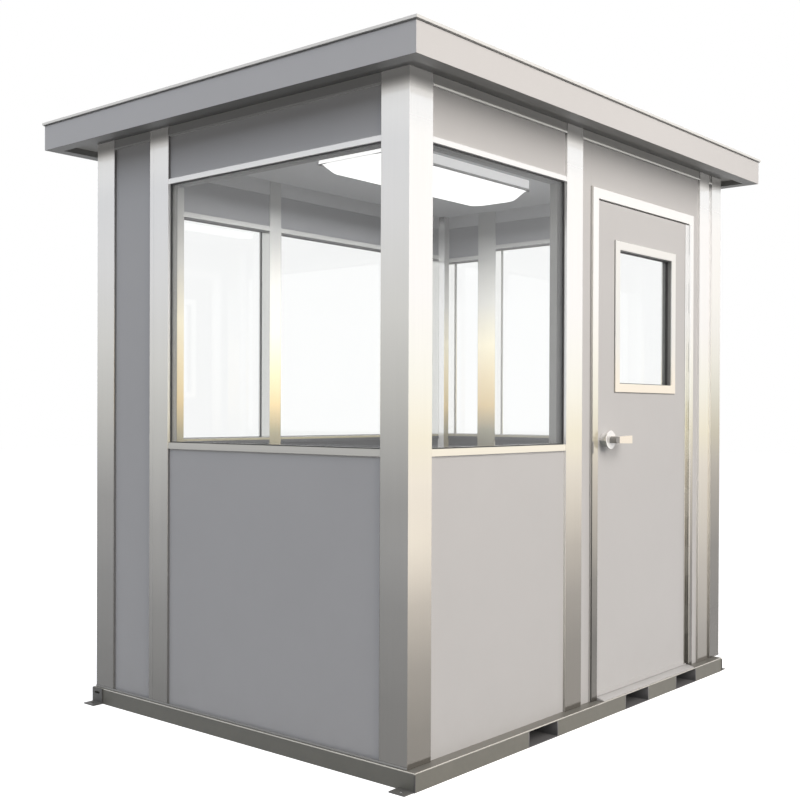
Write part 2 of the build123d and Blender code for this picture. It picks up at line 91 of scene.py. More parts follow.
class GuardBoothFinish(bpy.types.PropertyGroup):
    """Colours of the booth."""
    wall_paint: colour_of("Wall paint", "Paint of the wall panels and the door",
                          (0.555, 0.55, 0.545))
    roof_paint: colour_of("Roof paint", "Paint of the fascia and the roof sheet",
                          (0.60, 0.592, 0.585))
    # The soffit paint is dark: painted shade of the overhang.
    soffit_paint: colour_of("Soffit paint", "Paint under the overhang", (0.130, 0.130, 0.125))
    base_paint: colour_of("Base paint", "Paint of the steel base", (0.153, 0.150, 0.127))
    room_paint: colour_of("Room paint", "Inner face of the wall panels", (0.22, 0.223, 0.235))
    trim_paint: colour_of("Trim paint", "Paint of the trim round the door's window",
                          (0.86, 0.87, 0.85))
    metal_tint: colour_of("Aluminium tint", "Multiplies the tone of all bare aluminium",
                          (1.0, 1.0, 1.0))
    seal_colour: colour_of("Seals", "Rubber seals", (0.05, 0.05, 0.05))


class GuardBoothSizes(bpy.types.PropertyGroup):
    """Sizes of the small details."""
    edge_round: length_of("Edge rounding", "Rounding of the long edges of posts and bars",
                          0.0010, 0.0002, 0.005)
    seal_reach: length_of("Seal reach", "How far the seal round a pane stands into the opening",
                          0.004, 0.001, 0.015)
    gasket_width: length_of("Gasket width", "Face width of the gasket beside a wall panel",
                            0.0013, 0.0005, 0.01)
    groove_width: length_of("Groove width", "Width of the joint grooves in the posts",
                            0.0016, 0.0005, 0.01)
    cap_edge: length_of("Cap edge", "Height of the bright edge round the roof",
                        0.0105, 0.004, 0.012)
    flashing_height: length_of("Flashing height", "Height of the strip at the foot of the walls",
                               0.009, 0.006, 0.04)
    seam_pitch: length_of("Roof seam pitch", "Distance between the ribs of the roof sheet",
                          0.42, 0.2, 1.0)


def finish():
    return bpy.context.scene.guard_booth_finish


def sizes():
    return bpy.context.scene.guard_booth_sizes


# ---------------------------------------------------------------- modelling helpers
def box_of(node):
    """The lowest and the highest corner of a CAD node."""
    return tuple(Vector(corner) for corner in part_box(node))


def make_active(piece):
    """Select this piece alone."""
    if bpy.context.mode != "OBJECT":
        close()
    bpy.ops.object.select_all(action="DESELECT")
    piece.select_set(True)
    bpy.context.view_layer.objects.active = piece


def settle(piece, name):
    """Name a new piece and put its place and size into its mesh."""
    piece.name = name
    piece.data.name = name
    make_active(piece)
    bpy.ops.object.transform_apply(location=True, rotation=True, scale=True)
    return piece


def add_block(name, low, high):
    """A cube primitive between two corners, to be shaped further."""
    low, high = Vector(low), Vector(high)
    bpy.ops.object.select_all(action="DESELECT")
    bpy.ops.mesh.primitive_cube_add(size=1, location=(low + high) / 2)
    piece = bpy.context.object
    piece.scale = high - low
    return settle(piece, name)


def add_rod(name, start, end, radius, sides):
    """A cylinder primitive between two points, to be shaped further."""
    start, end = Vector(start), Vector(end)
    along = end - start
    bpy.ops.object.select_all(action="DESELECT")
    bpy.ops.mesh.primitive_cylinder_add(
        vertices=sides, radius=radius, depth=along.length, location=(start + end) / 2,
        rotation=along.to_track_quat("Z", "Y").to_euler())
    return settle(bpy.context.object, name)


def edit(piece, kind="FACE"):
    """Open a piece for editing with nothing selected."""
    make_active(piece)
    bpy.ops.object.mode_set(mode="EDIT")
    bpy.ops.mesh.select_mode(type=kind)
    bpy.ops.mesh.select_all(action="DESELECT")


def choose(piece, kind, test):
    """In edit mode, select the verts, edges or faces that pass a test."""
    bpy.ops.mesh.select_all(action="DESELECT")
    mesh = bmesh.from_edit_mesh(piece.data)
    for element in getattr(mesh, kind):
        if test(element):
            element.select_set(True)
    mesh.select_flush_mode()
    bmesh.update_edit_mesh(piece.data)


def close():
    bpy.ops.object.mode_set(mode="OBJECT")


def cut_across(axis, place):
    """In edit mode, divide the faces along the plane that crosses an axis at a place."""
    normal, point = Vector(), Vector()
    normal[AXES[axis]] = 1
    point[AXES[axis]] = place
    bpy.ops.mesh.select_all(action="SELECT")
    bpy.ops.mesh.bisect(plane_co=point, plane_no=normal)


def extrude_by(vector):
    bpy.ops.mesh.extrude_region_move(TRANSFORM_OT_translate={"value": tuple(vector)})


def round_edges(piece, width, segments=2, angle=30):
    """Round every sharp edge of a piece."""
    make_active(piece)
    rounding = piece.modifiers.new("rounding", "BEVEL")
    rounding.width = width
    rounding.segments = segments
    rounding.limit_method = "ANGLE"
    rounding.angle_limit = math.radians(angle)
    rounding.harden_normals = False
    bpy.ops.object.modifier_apply(modifier=rounding.name)
    return smooth(piece)


def round_corners(piece, width, segments=6):
    """Round the upright corners of a piece, leaning ones too."""
    def upright(edge):
        span = edge.verts[1].co - edge.verts[0].co
        return abs(span.z) > LEAST_RISE * span.length

    edit(piece, "EDGE")
    choose(piece, "edges", upright)
    bpy.ops.mesh.bevel(offset=width, segments=segments, affect="EDGES")
    close()
    return piece


def smooth(piece):
    """Shade the roundings smoothly and keep the large faces flat."""
    make_active(piece)
    bpy.ops.object.shade_smooth_by_angle(angle=SMOOTH_ANGLE)
    normals = piece.modifiers.new("flat_faces", "WEIGHTED_NORMAL")
    normals.keep_sharp = True
    normals.weight = 100
    bpy.ops.object.modifier_apply(modifier=normals.name)
    return piece


def merged_copy(node, name):
    """A CAD node's shape as a piece of its own, with its triangles joined into whole faces."""
    piece = bpy.data.objects.new(name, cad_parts[node].data.copy())
    bpy.context.scene.collection.objects.link(piece)
    piece.data.name = name
    edit(piece)
    bpy.ops.mesh.select_all(action="SELECT")
    bpy.ops.mesh.remove_doubles(threshold=MERGE)
    bpy.ops.mesh.select_all(action="SELECT")
    bpy.ops.mesh.dissolve_limited(angle_limit=FLAT_ANGLE)
    close()
    return piece


def rounded(node, width, segments=2):
    """A CAD node's shape with its edges rounded."""
    return round_edges(merged_copy(node, node + "_rounded"), width, segments)


def separate_solids(node, name):
    """The solids of a CAD node as pieces of their own, in the order of their places."""
    edit(merged_copy(node, name))
    bpy.ops.mesh.select_all(action="SELECT")
    bpy.ops.mesh.separate(type="LOOSE")
    close()
    parts = [o for o in bpy.context.selected_objects if o.type == "MESH"]
    parts.sort(key=lambda o: tuple(round(c, 3) for c in corners(o)[0]))
    for number, part in enumerate(parts, 1):
        part.name = f"{name}_{number}"
        part.data.name = part.name
    return parts


def corners(piece):
    """The lowest and the highest corner of a piece's mesh."""
    points = [v.co for v in piece.data.vertices]
    return tuple(Vector([pick(p[i] for p in points) for i in range(3)]) for pick in (min, max))


def join(name, pieces):
    """Several new pieces as one."""
    bpy.ops.object.select_all(action="DESELECT")
    for piece in pieces:
        piece.select_set(True)
    bpy.context.view_layer.objects.active = pieces[0]
    bpy.ops.object.join()
    pieces[0].name = name
    pieces[0].data.name = name
    return pieces[0]


def ring(name, low, high, axis, width, rounding=0.0):
    """A rectangular ring that is seen face on along an axis, made by joining two inset faces."""
    piece = add_block(name, low, high)
    edit(piece)
    choose(piece, "faces", lambda f: abs(f.normal[AXES[axis]]) > STRAIGHT)
    bpy.ops.mesh.inset(thickness=width, use_individual=True)
    bpy.ops.mesh.bridge_edge_loops()
    close()
    return round_edges(piece, rounding) if rounding else piece


def bar(name, low, high, rounding=0.0008, segments=2):
    """A straight strip with rounded edges."""
    return round_edges(add_block(name, low, high), rounding, segments)


def put(piece, slot_name, finish_name, *nodes, body="booth"):
    """Finish a piece: its material, the body that it rides on and what it stands for; the slot
    name is not used.
    """
    piece.data.materials.clear()
    piece.data.materials.append(MATERIALS[finish_name])
    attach(piece, body)
    if nodes:
        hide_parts(*nodes)
    return piece


def paint_node(node, finish_name):
    """Give a CAD node that stays its material."""
    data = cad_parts[node].data
    data.materials.clear()
    data.materials.append(MATERIALS[finish_name])


def add_slot(piece, finish_name, test):
    """Give the faces of a piece that pass a test a second material."""
    piece.data.materials.append(MATERIALS[finish_name])
    index = len(piece.data.materials) - 1
    for face in piece.data.polygons:
        if test(face):
            face.material_index = index


def looks(axis, side=0):
    """A test for faces that look along an axis, either way if no side is given."""
    index = AXES[axis]

    def test(face):
        along = face.normal[index]
        return (abs(along) if side == 0 else along * side) > ROUGHLY
    return test


def wall_span(wall, along, depths, heights):
    """The two corners of a box in a wall: along it, behind its outer face, and up."""
    outer, inward = WALLS[wall]
    near, far = sorted(outer + inward * depth for depth in depths)
    if wall in ("front", "back"):
        return (Vector((along[0], near, heights[0])), Vector((along[1], far, heights[1])))
    return (Vector((near, along[0], heights[0])), Vector((far, along[1], heights[1])))


def facing(wall):
    """The axis that a wall looks along."""
    return "y" if wall in ("front", "back") else "x"


def run_of(wall):
    """The axis that a wall runs along."""
    return "x" if wall in ("front", "back") else "y"


def wall_of(low, high):
    """The wall that a piece belongs to, by the outer face nearest to it."""
    gaps = {"front": low.y - FRONT_Y, "back": BACK_Y - high.y,
            "left": low.x - LEFT_X, "right": RIGHT_X - high.x}
    return min(gaps, key=gaps.get)


def along_wall(low, high, trim=0.0):
    """The wall of a piece, and the piece's two ends along that wall, each shortened by a trim."""
    wall = wall_of(low, high)
    axis = AXES[run_of(wall)]
    return wall, (low[axis] + trim, high[axis] - trim)


def into_room(wall):
    """A test for faces that look into the room from a wall, or along it between its posts."""
    index = AXES[facing(wall)]
    outer, inward = WALLS[wall]

    def test(face):
        return (face.normal[index] * inward > PARTLY
                and abs(face.center[index] - outer) > POST_DEPTH / 2)
    return test


def spans(node):
    """The lowest and highest corners of each solid of a CAD node."""
    parts = separate_solids(node, node + "_guide")
    found = [corners(part) for part in parts]
    for part in parts:
        mesh = part.data
        bpy.data.objects.remove(part)
        bpy.data.meshes.remove(mesh)
    return found


# ---------------------------------------------------------------- material helpers
def new_group(name, inputs, outputs):
    """A shader node group: its inputs with their defaults, None for a vector, and outputs."""
    tree = bpy.data.node_groups.new(name, "ShaderNodeTree")
    for key, default in inputs.items():
        kind = "NodeSocketVector" if default is None else "NodeSocketFloat"
        socket = tree.interface.new_socket(name=key, in_out="INPUT", socket_type=kind)
        if default is not None:
            socket.default_value = default
    for key in outputs:
        kind = "NodeSocketColor" if key == "Color" else "NodeSocketFloat"
        tree.interface.new_socket(name=key, in_out="OUTPUT", socket_type=kind)
    return tree, tree.nodes.new("NodeGroupInput").outputs, tree.nodes.new("NodeGroupOutput")


def add_node(tree, kind, links=(), **settings):
    """A node with settings and its inputs linked or set: (input, source or value)."""
    made = tree.nodes.new("ShaderNode" + kind)
    for key, value in settings.items():
        setattr(made, key, value)
    for target, source in links:
        if isinstance(source, bpy.types.NodeSocket):
            tree.links.new(source, made.inputs[target])
        else:
            made.inputs[target].default_value = source
    return made


def link(tree, node, **sources):
    """Link sources to a node's inputs; Base_Color stands for its input Base Color."""
    for key, source in sources.items():
        tree.links.new(source, node.inputs[key.replace("_", " ")])


def calc(tree, operation, *values):
    """The result of a math node."""
    return add_node(tree, "Math", enumerate(values), operation=operation).outputs[0]


def remap(tree, value, low, high, to_low=0.0, to_high=1.0, kind="LINEAR"):
    """A value carried from one range over to another."""
    links = (("Value", value), ("From Min", low), ("From Max", high), ("To Min", to_low),
             ("To Max", to_high))
    return add_node(tree, "MapRange", links, interpolation_type=kind).outputs["Result"]


def noise(tree, vector, scale, detail, roughness=0.5):
    """Noise between 0 and 1."""
    links = (("Vector", vector), ("Scale", scale), ("Detail", detail), ("Roughness", roughness))
    return add_node(tree, "TexNoise", links).outputs["Fac"]


def split(tree, vector):
    """The three values of a vector, by the names X, Y and Z."""
    return add_node(tree, "SeparateXYZ", [("Vector", vector)]).outputs


def rgba(colour):
    return (*colour, 1.0)


def blend_colour(tree, first, second, mask):
    """The first colour where the mask is 0 and the second where it is 1."""
    links = [("Factor", mask)]
    for socket, colour in (("A", first), ("B", second)):
        given = isinstance(colour, bpy.types.NodeSocket)
        links.append((socket, colour if given else rgba(colour)))
    return add_node(tree, "Mix", links, data_type="RGBA").outputs["Result"]


def tint_colour(tree, colour, tint):
    """A colour times another colour."""
    links = ((0, colour), (1, tint))
    return add_node(tree, "VectorMath", links, operation="MULTIPLY").outputs[0]


def multiply_colour(tree, colour, value):
    """Colour times a value that changes over the surface."""
    links = (("Scale", value), (0, colour))
    return add_node(tree, "VectorMath", links, operation="SCALE").outputs[0]


def mix_shaders(tree, share, first, second):
    """The first shader where the share is 0 and the second where it is 1."""
    links = ((0, share), (1, first.outputs[0]), (2, second.outputs[0]))
    return add_node(tree, "MixShader", links).outputs[0]


def group(tree, key, **values):
    """The outputs of one of the shared effects, placed in a material."""
    return add_node(tree, "Group", values.items(), node_tree=GROUPS[key]).outputs


def new_material(name, roughness, metallic=0.0, **constants):
    """A material with its Principled shader; returns (material, tree, shader, coordinates)."""
    material = bpy.data.materials.new(name)
    material.use_nodes = True
    tree = material.node_tree
    shader = tree.nodes["Principled BSDF"]
    for key, value in {"Roughness": roughness, "Metallic": metallic, **constants}.items():
        shader.inputs[key.replace("_", " ")].default_value = value
    return material, tree, shader, tree.nodes.new("ShaderNodeTexCoord").outputs


def uneven(tree, shader, height, distance, roughness, spread):
    """Raise the surface by a height, and let its roughness vary with it by a spread."""
    raised = add_node(tree, "Bump", [("Height", height), ("Distance", distance)])
    varied = remap(tree, height, 0.0, 1.0, roughness + spread[0], roughness + spread[1])
    link(tree, shader, Normal=raised.outputs["Normal"], Roughness=varied)


# ---------------------------------------------------------------- shared effects
# Painted reflection on bare metal by height: a tone that stands in for mirroring a dark ground
# below and a bright sky above.
METAL_REFLECTION_TONES = (
    (0.06, (0.170, 0.166, 0.155)), (0.32, (0.180, 0.176, 0.165)), (0.65, (0.245, 0.240, 0.226)),
    (0.98, (0.390, 0.380, 0.355)), (1.31, (0.670, 0.655, 0.605)), (1.63, (0.880, 0.865, 0.810)),
    (1.96, (0.965, 0.955, 0.930)), (2.30, (0.980, 0.978, 0.970)))
# The same painted reflection at the far corner, painted as mirroring only dark ground below.
FAR_REFLECTION_TONES = (
    (0.10, (0.105, 0.103, 0.098)), (0.30, (0.098, 0.096, 0.092)), (0.60, (0.165, 0.161, 0.152)),
    (0.92, (0.385, 0.375, 0.345)), (1.20, (0.620, 0.605, 0.560)), (1.50, (0.850, 0.840, 0.790)),
    (1.80, (0.950, 0.940, 0.900)), (2.15, (0.970, 0.965, 0.950)))
# The same painted reflection inside the room, with a painted reflection of a low sun at the height
# of a seated head.
ROOM_REFLECTION_TONES = (
    (0.90, (0.160, 0.155, 0.130)), (1.14, (0.360, 0.340, 0.270)), (1.28, (0.800, 0.640, 0.390)),
    (1.45, (0.930, 0.800, 0.560)), (1.62, (1.000, 0.930, 0.730)), (1.85, (0.720, 0.710, 0.670)),
    (2.10, (0.450, 0.450, 0.440)), (2.30, (0.360, 0.360, 0.360)))
# Painted warm light on the faces along X by height, as if they looked towards a low sun.
PAINTED_SUN_TINTS = (
    (0.06, (1.00, 0.960, 0.905)), (1.00, (1.00, 0.950, 0.880)), (1.15, (1.00, 0.960, 0.820)),
    (1.35, (1.00, 1.000, 0.930)), (1.65, (1.00, 1.000, 1.000)))
TONE_SPAN = 3.6
METAL_SHARE = 0.42
EAVES_LOW, EAVES_HIGH, EAVES_SHARE = 2.10, 2.27, 0.2
# How strongly the soffit's painted glow shows in reflections.
EAVES_REFLECTED_GLOW = 0.6
# The shade of the eaves on the tops of the posts, full at SHADE_HIGH.
SHADE_LOW, SHADE_HIGH, SHADE_TOP = 2.298, 2.354, 0.22
PEEL_SCALE = 260.0
NOISE_LOW, NOISE_HIGH = 0.3, 0.7     # where most of a noise lies
GROUPS = {}


def brushed_grain_group():
    """Fine grain: noise on a vector that the material has stretched along the grain."""
    tree, given, result = new_group(
        "Brushed grain", {"Vector": None, "Fineness": 1.0, "Contrast": 0.2}, ("Value", "Height"))
    fine = noise(tree, given["Vector"], given["Fineness"], detail=4.0, roughness=0.6)
    low = calc(tree, "SUBTRACT", 1.0, given["Contrast"])
    link(tree, result, Value=remap(tree, fine, NOISE_LOW, NOISE_HIGH, low), Height=fine)
    return tree


def sprayed_paint_group():
    """Soft clouds in a painted face, as a factor round 1, and the height of its orange peel."""
    tree, given, result = new_group(
        "Sprayed paint", {"Vector": None, "Size": 4.0, "Amount": 0.06}, ("Value", "Height"))
    broad = noise(tree, given["Vector"], given["Size"], detail=5.0, roughness=0.6)
    spread = calc(tree, "MULTIPLY", calc(tree, "SUBTRACT", broad, 0.5), given["Amount"])
    link(tree, result, Value=calc(tree, "ADD", spread, 1.0),
         Height=noise(tree, given["Vector"], PEEL_SCALE, detail=2.0))
    return tree


def ramp(tree, height, tones):
    """A colour by height, smooth between the given (height, colour) stops."""
    part = calc(tree, "DIVIDE", height, TONE_SPAN)
    colours = add_node(tree, "ValToRGB", [("Fac", part)])
    stops = colours.color_ramp.elements
    for number, (place, tone) in enumerate(tones):
        stop = stops[number] if number < 2 else stops.new(place / TONE_SPAN)
        stop.position = place / TONE_SPAN
        stop.color = rgba(tone)
    return colours.outputs["Color"]


def reflection_tone_group(name, tones):
    """Painted reflection on bare metal by height; faces that look along X take theirs from higher
    up, with a painted warm tint of the low sun.
    """
    tree, given, result = new_group(
        name, {"Vector": None, "Normal": None, "Stretch": 0.6, "Raise": 0.0}, ("Color", "Share"))
    height = split(tree, given["Vector"])["Z"]
    sideways = calc(tree, "ABSOLUTE", split(tree, given["Normal"])["X"])
    stretch = calc(tree, "MULTIPLY_ADD", sideways, given["Stretch"], 1.0)
    lifted = calc(tree, "MULTIPLY_ADD", height, stretch, given["Raise"])
    tint = blend_colour(tree, (1, 1, 1), ramp(tree, height, PAINTED_SUN_TINTS), sideways)
    tone = tint_colour(tree, ramp(tree, lifted, tones), tint)
    # Painted shade of the eaves darkens the tops, outside the room.
    if tones is not ROOM_REFLECTION_TONES:
        shade = remap(tree, height, SHADE_LOW, SHADE_HIGH, 1.0, SHADE_TOP, "SMOOTHSTEP")
        tone = multiply_colour(tree, tone, shade)

    # Close under the roof the metal mirrors the bright surroundings rather than the eaves.
    high = remap(tree, height, EAVES_LOW, EAVES_HIGH, kind="SMOOTHSTEP")
    extra = calc(tree, "MULTIPLY_ADD", sideways, EAVES_SHARE, EAVES_SHARE)
    link(tree, result, Color=tone, Share=calc(tree, "MULTIPLY_ADD", high, extra, METAL_SHARE))
    return tree


def foot_dust_group():
    """A mask of dust and splashes, thickest at the ground and gone above its height."""
    tree, given, result = new_group(
        "Foot dust", {"Vector": None, "Height": 0.3, "Amount": 0.3}, ("Mask",))
    height = split(tree, given["Vector"])["Z"]
    fade = remap(tree, height, 0.0, given["Height"], 1.0, 0.0, "SMOOTHSTEP")
    clouds = noise(tree, given["Vector"], scale=9.0, detail=6.0, roughness=0.65)
    patchy = remap(tree, clouds, NOISE_LOW, NOISE_HIGH)
    both = calc(tree, "MULTIPLY", fade, patchy)
    link(tree, result, Mask=calc(tree, "MULTIPLY", both, given["Amount"]))
    return tree


def inside_group():
    """A mask of everything well inside the outer faces of the walls."""
    tree, given, result = new_group(
        "Inside of the walls", {"Vector": None, "Depth": 0.04}, ("Mask",))
    place = split(tree, given["Vector"])
    within = []
    for axis, low, high in (("X", LEFT_X, RIGHT_X), ("Y", FRONT_Y, BACK_Y)):
        away = calc(tree, "SUBTRACT", place[axis], (low + high) / 2)
        room = calc(tree, "SUBTRACT", (high - low) / 2, given["Depth"])
        within.append(calc(tree, "LESS_THAN", calc(tree, "ABSOLUTE", away), room))
    link(tree, result, Mask=calc(tree, "MULTIPLY", *within))
    return tree


# ---------------------------------------------------------------- materials
# Painted shade: the room's faces under its windows are painted darker.
LOW_ROOM_SHADE = 0.33     # the room is darker under its windows
DUST = (0.30, 0.28, 0.24)
BRIGHT = (0.95, 0.945, 0.93)
GLASS_TINT = (0.990, 0.995, 0.993)
GLASS_SHADOW = (0.95, 0.955, 0.95)
GLASS_INDEX = 1.45
EAVES_GLOW = (1.0, 0.97, 0.93)
METAL_BUMP = 0.00001
# How far the roughness goes below and above its middle.
PAINT_SPREAD = (-0.05, 0.07)
METAL_SPREAD = (-0.04, 0.06)
# How the grain of brushed metal is stretched.
GRAIN_UP = (260, 260, 2.5)
GRAIN_X = (2.5, 260, 260)
GRAIN_Y = (260, 2.5, 260)
MATERIALS = {}


def painted(name, colour, roughness, size=3.0, amount=0.08, peel=0.00003, dust=0.0,
            room=None, foot=None):
    """Smooth sprayed paint with faint clouds, orange peel and some dust near the ground.

    room is another colour for the inside of the walls; foot is (colour, low, high), a tint
    that the paint takes on from the height high down to low.
    """
    material, tree, shader, coordinates = new_material(name, roughness)
    vector = coordinates["Object"]
    clouds = group(tree, "paint", Vector=vector, Size=size, Amount=amount)
    tone = colour
    if room:
        mask = group(tree, "inside", Vector=vector)["Mask"]
        tone = blend_colour(tree, colour, room, mask)
    if foot:
        height = split(tree, vector)["Z"]
        fade = remap(tree, height, foot[1], foot[2], kind="SMOOTHSTEP")
        tone = blend_colour(tree, foot[0], tone, fade)
    tone = multiply_colour(tree, tone, clouds["Value"])
    if dust:
        mask = group(tree, "dust", Vector=vector, Amount=dust)["Mask"]
        tone = blend_colour(tree, tone, DUST, mask)
    link(tree, shader, Base_Color=tone)
    uneven(tree, shader, clouds["Height"], peel, roughness, PAINT_SPREAD)
    return material


def bare_metal(name, run=GRAIN_UP, tone=None, stretch=0.6, lift=0.0, roughness=0.12,
               contrast=0.03, metallic=None, tones="tone", shade=1.0):
    """Anodised aluminium; run stretches its grain, and tone is one colour for all heights.

    Without a tone, its colour goes by height as a painted reflection: stretch and lift say
    how much higher up the faces along X, and all faces, take theirs from.
    """
    share = METAL_SHARE if metallic is None else metallic
    material, tree, shader, coordinates = new_material(name, roughness, share)
    mapping = add_node(tree, "Mapping", [("Vector", coordinates["Object"]), ("Scale", run)])
    grain = group(tree, "grain", Vector=mapping.outputs[0], Contrast=contrast)
    tint = tuple(channel * shade for channel in finish().metal_tint)
    if tone is None:
        heights = group(tree, tones, Vector=coordinates["Object"], Normal=coordinates["Normal"],
                        Stretch=stretch, Raise=lift)
        colour = tint_colour(tree, heights["Color"], tint)
        if metallic is None:
            link(tree, shader, Metallic=heights["Share"])
    else:
        colour = tuple(a * b for a, b in zip(tone, tint))
    link(tree, shader, Base_Color=multiply_colour(tree, colour, grain["Value"]))
    uneven(tree, shader, grain["Height"], METAL_BUMP, roughness, METAL_SPREAD)
    return material


def eaves_paint(name, colour):
    """Soffit paint that glows in reflections only: a painted reflection of open air, so that the
    polished posts stay bright under it.
    """
    material = painted(name, colour, 0.5)
    tree = material.node_tree
    shader = tree.nodes["Principled BSDF"]
    shader.inputs["Emission Color"].default_value = rgba(EAVES_GLOW)
    mirrored = add_node(tree, "LightPath").outputs["Is Glossy Ray"]
    link(tree, shader, Emission_Strength=calc(tree, "MULTIPLY", mirrored, EAVES_REFLECTED_GLOW))
    return material


def lamp_plastic(name, colour, glow):
    """Milky plastic with a glow in it: the tubes' glow in the diffuser, and on the housing a
    painted glow.
    """
    material, tree, shader, coordinates = new_material(name, 0.4, Emission_Strength=1.0)
    clouds = group(tree, "paint", Vector=coordinates["Object"], Size=5.0, Amount=0.05)["Value"]
    link(tree, shader, Base_Color=multiply_colour(tree, colour, clouds),
         Emission_Color=multiply_colour(tree, glow, clouds))
    return material


def window_glass():
    """Clear glass that lets the light of the lamps through to the room."""
    material, tree, shader, coordinates = new_material(
        "Window glass", 0.0, Transmission_Weight=1.0, IOR=GLASS_INDEX)
    smears = group(tree, "paint", Vector=coordinates["Object"], Size=2.0, Amount=0.01)["Value"]
    link(tree, shader, Base_Color=multiply_colour(tree, GLASS_TINT, smears))
    clear = add_node(tree, "BsdfTransparent", [("Color", rgba(GLASS_SHADOW))])
    path = add_node(tree, "LightPath").outputs
    either = calc(tree, "MAXIMUM", path["Is Shadow Ray"], path["Is Diffuse Ray"])
    link(tree, tree.nodes["Material Output"], Surface=mix_shaders(tree, either, shader, clear))
    return material


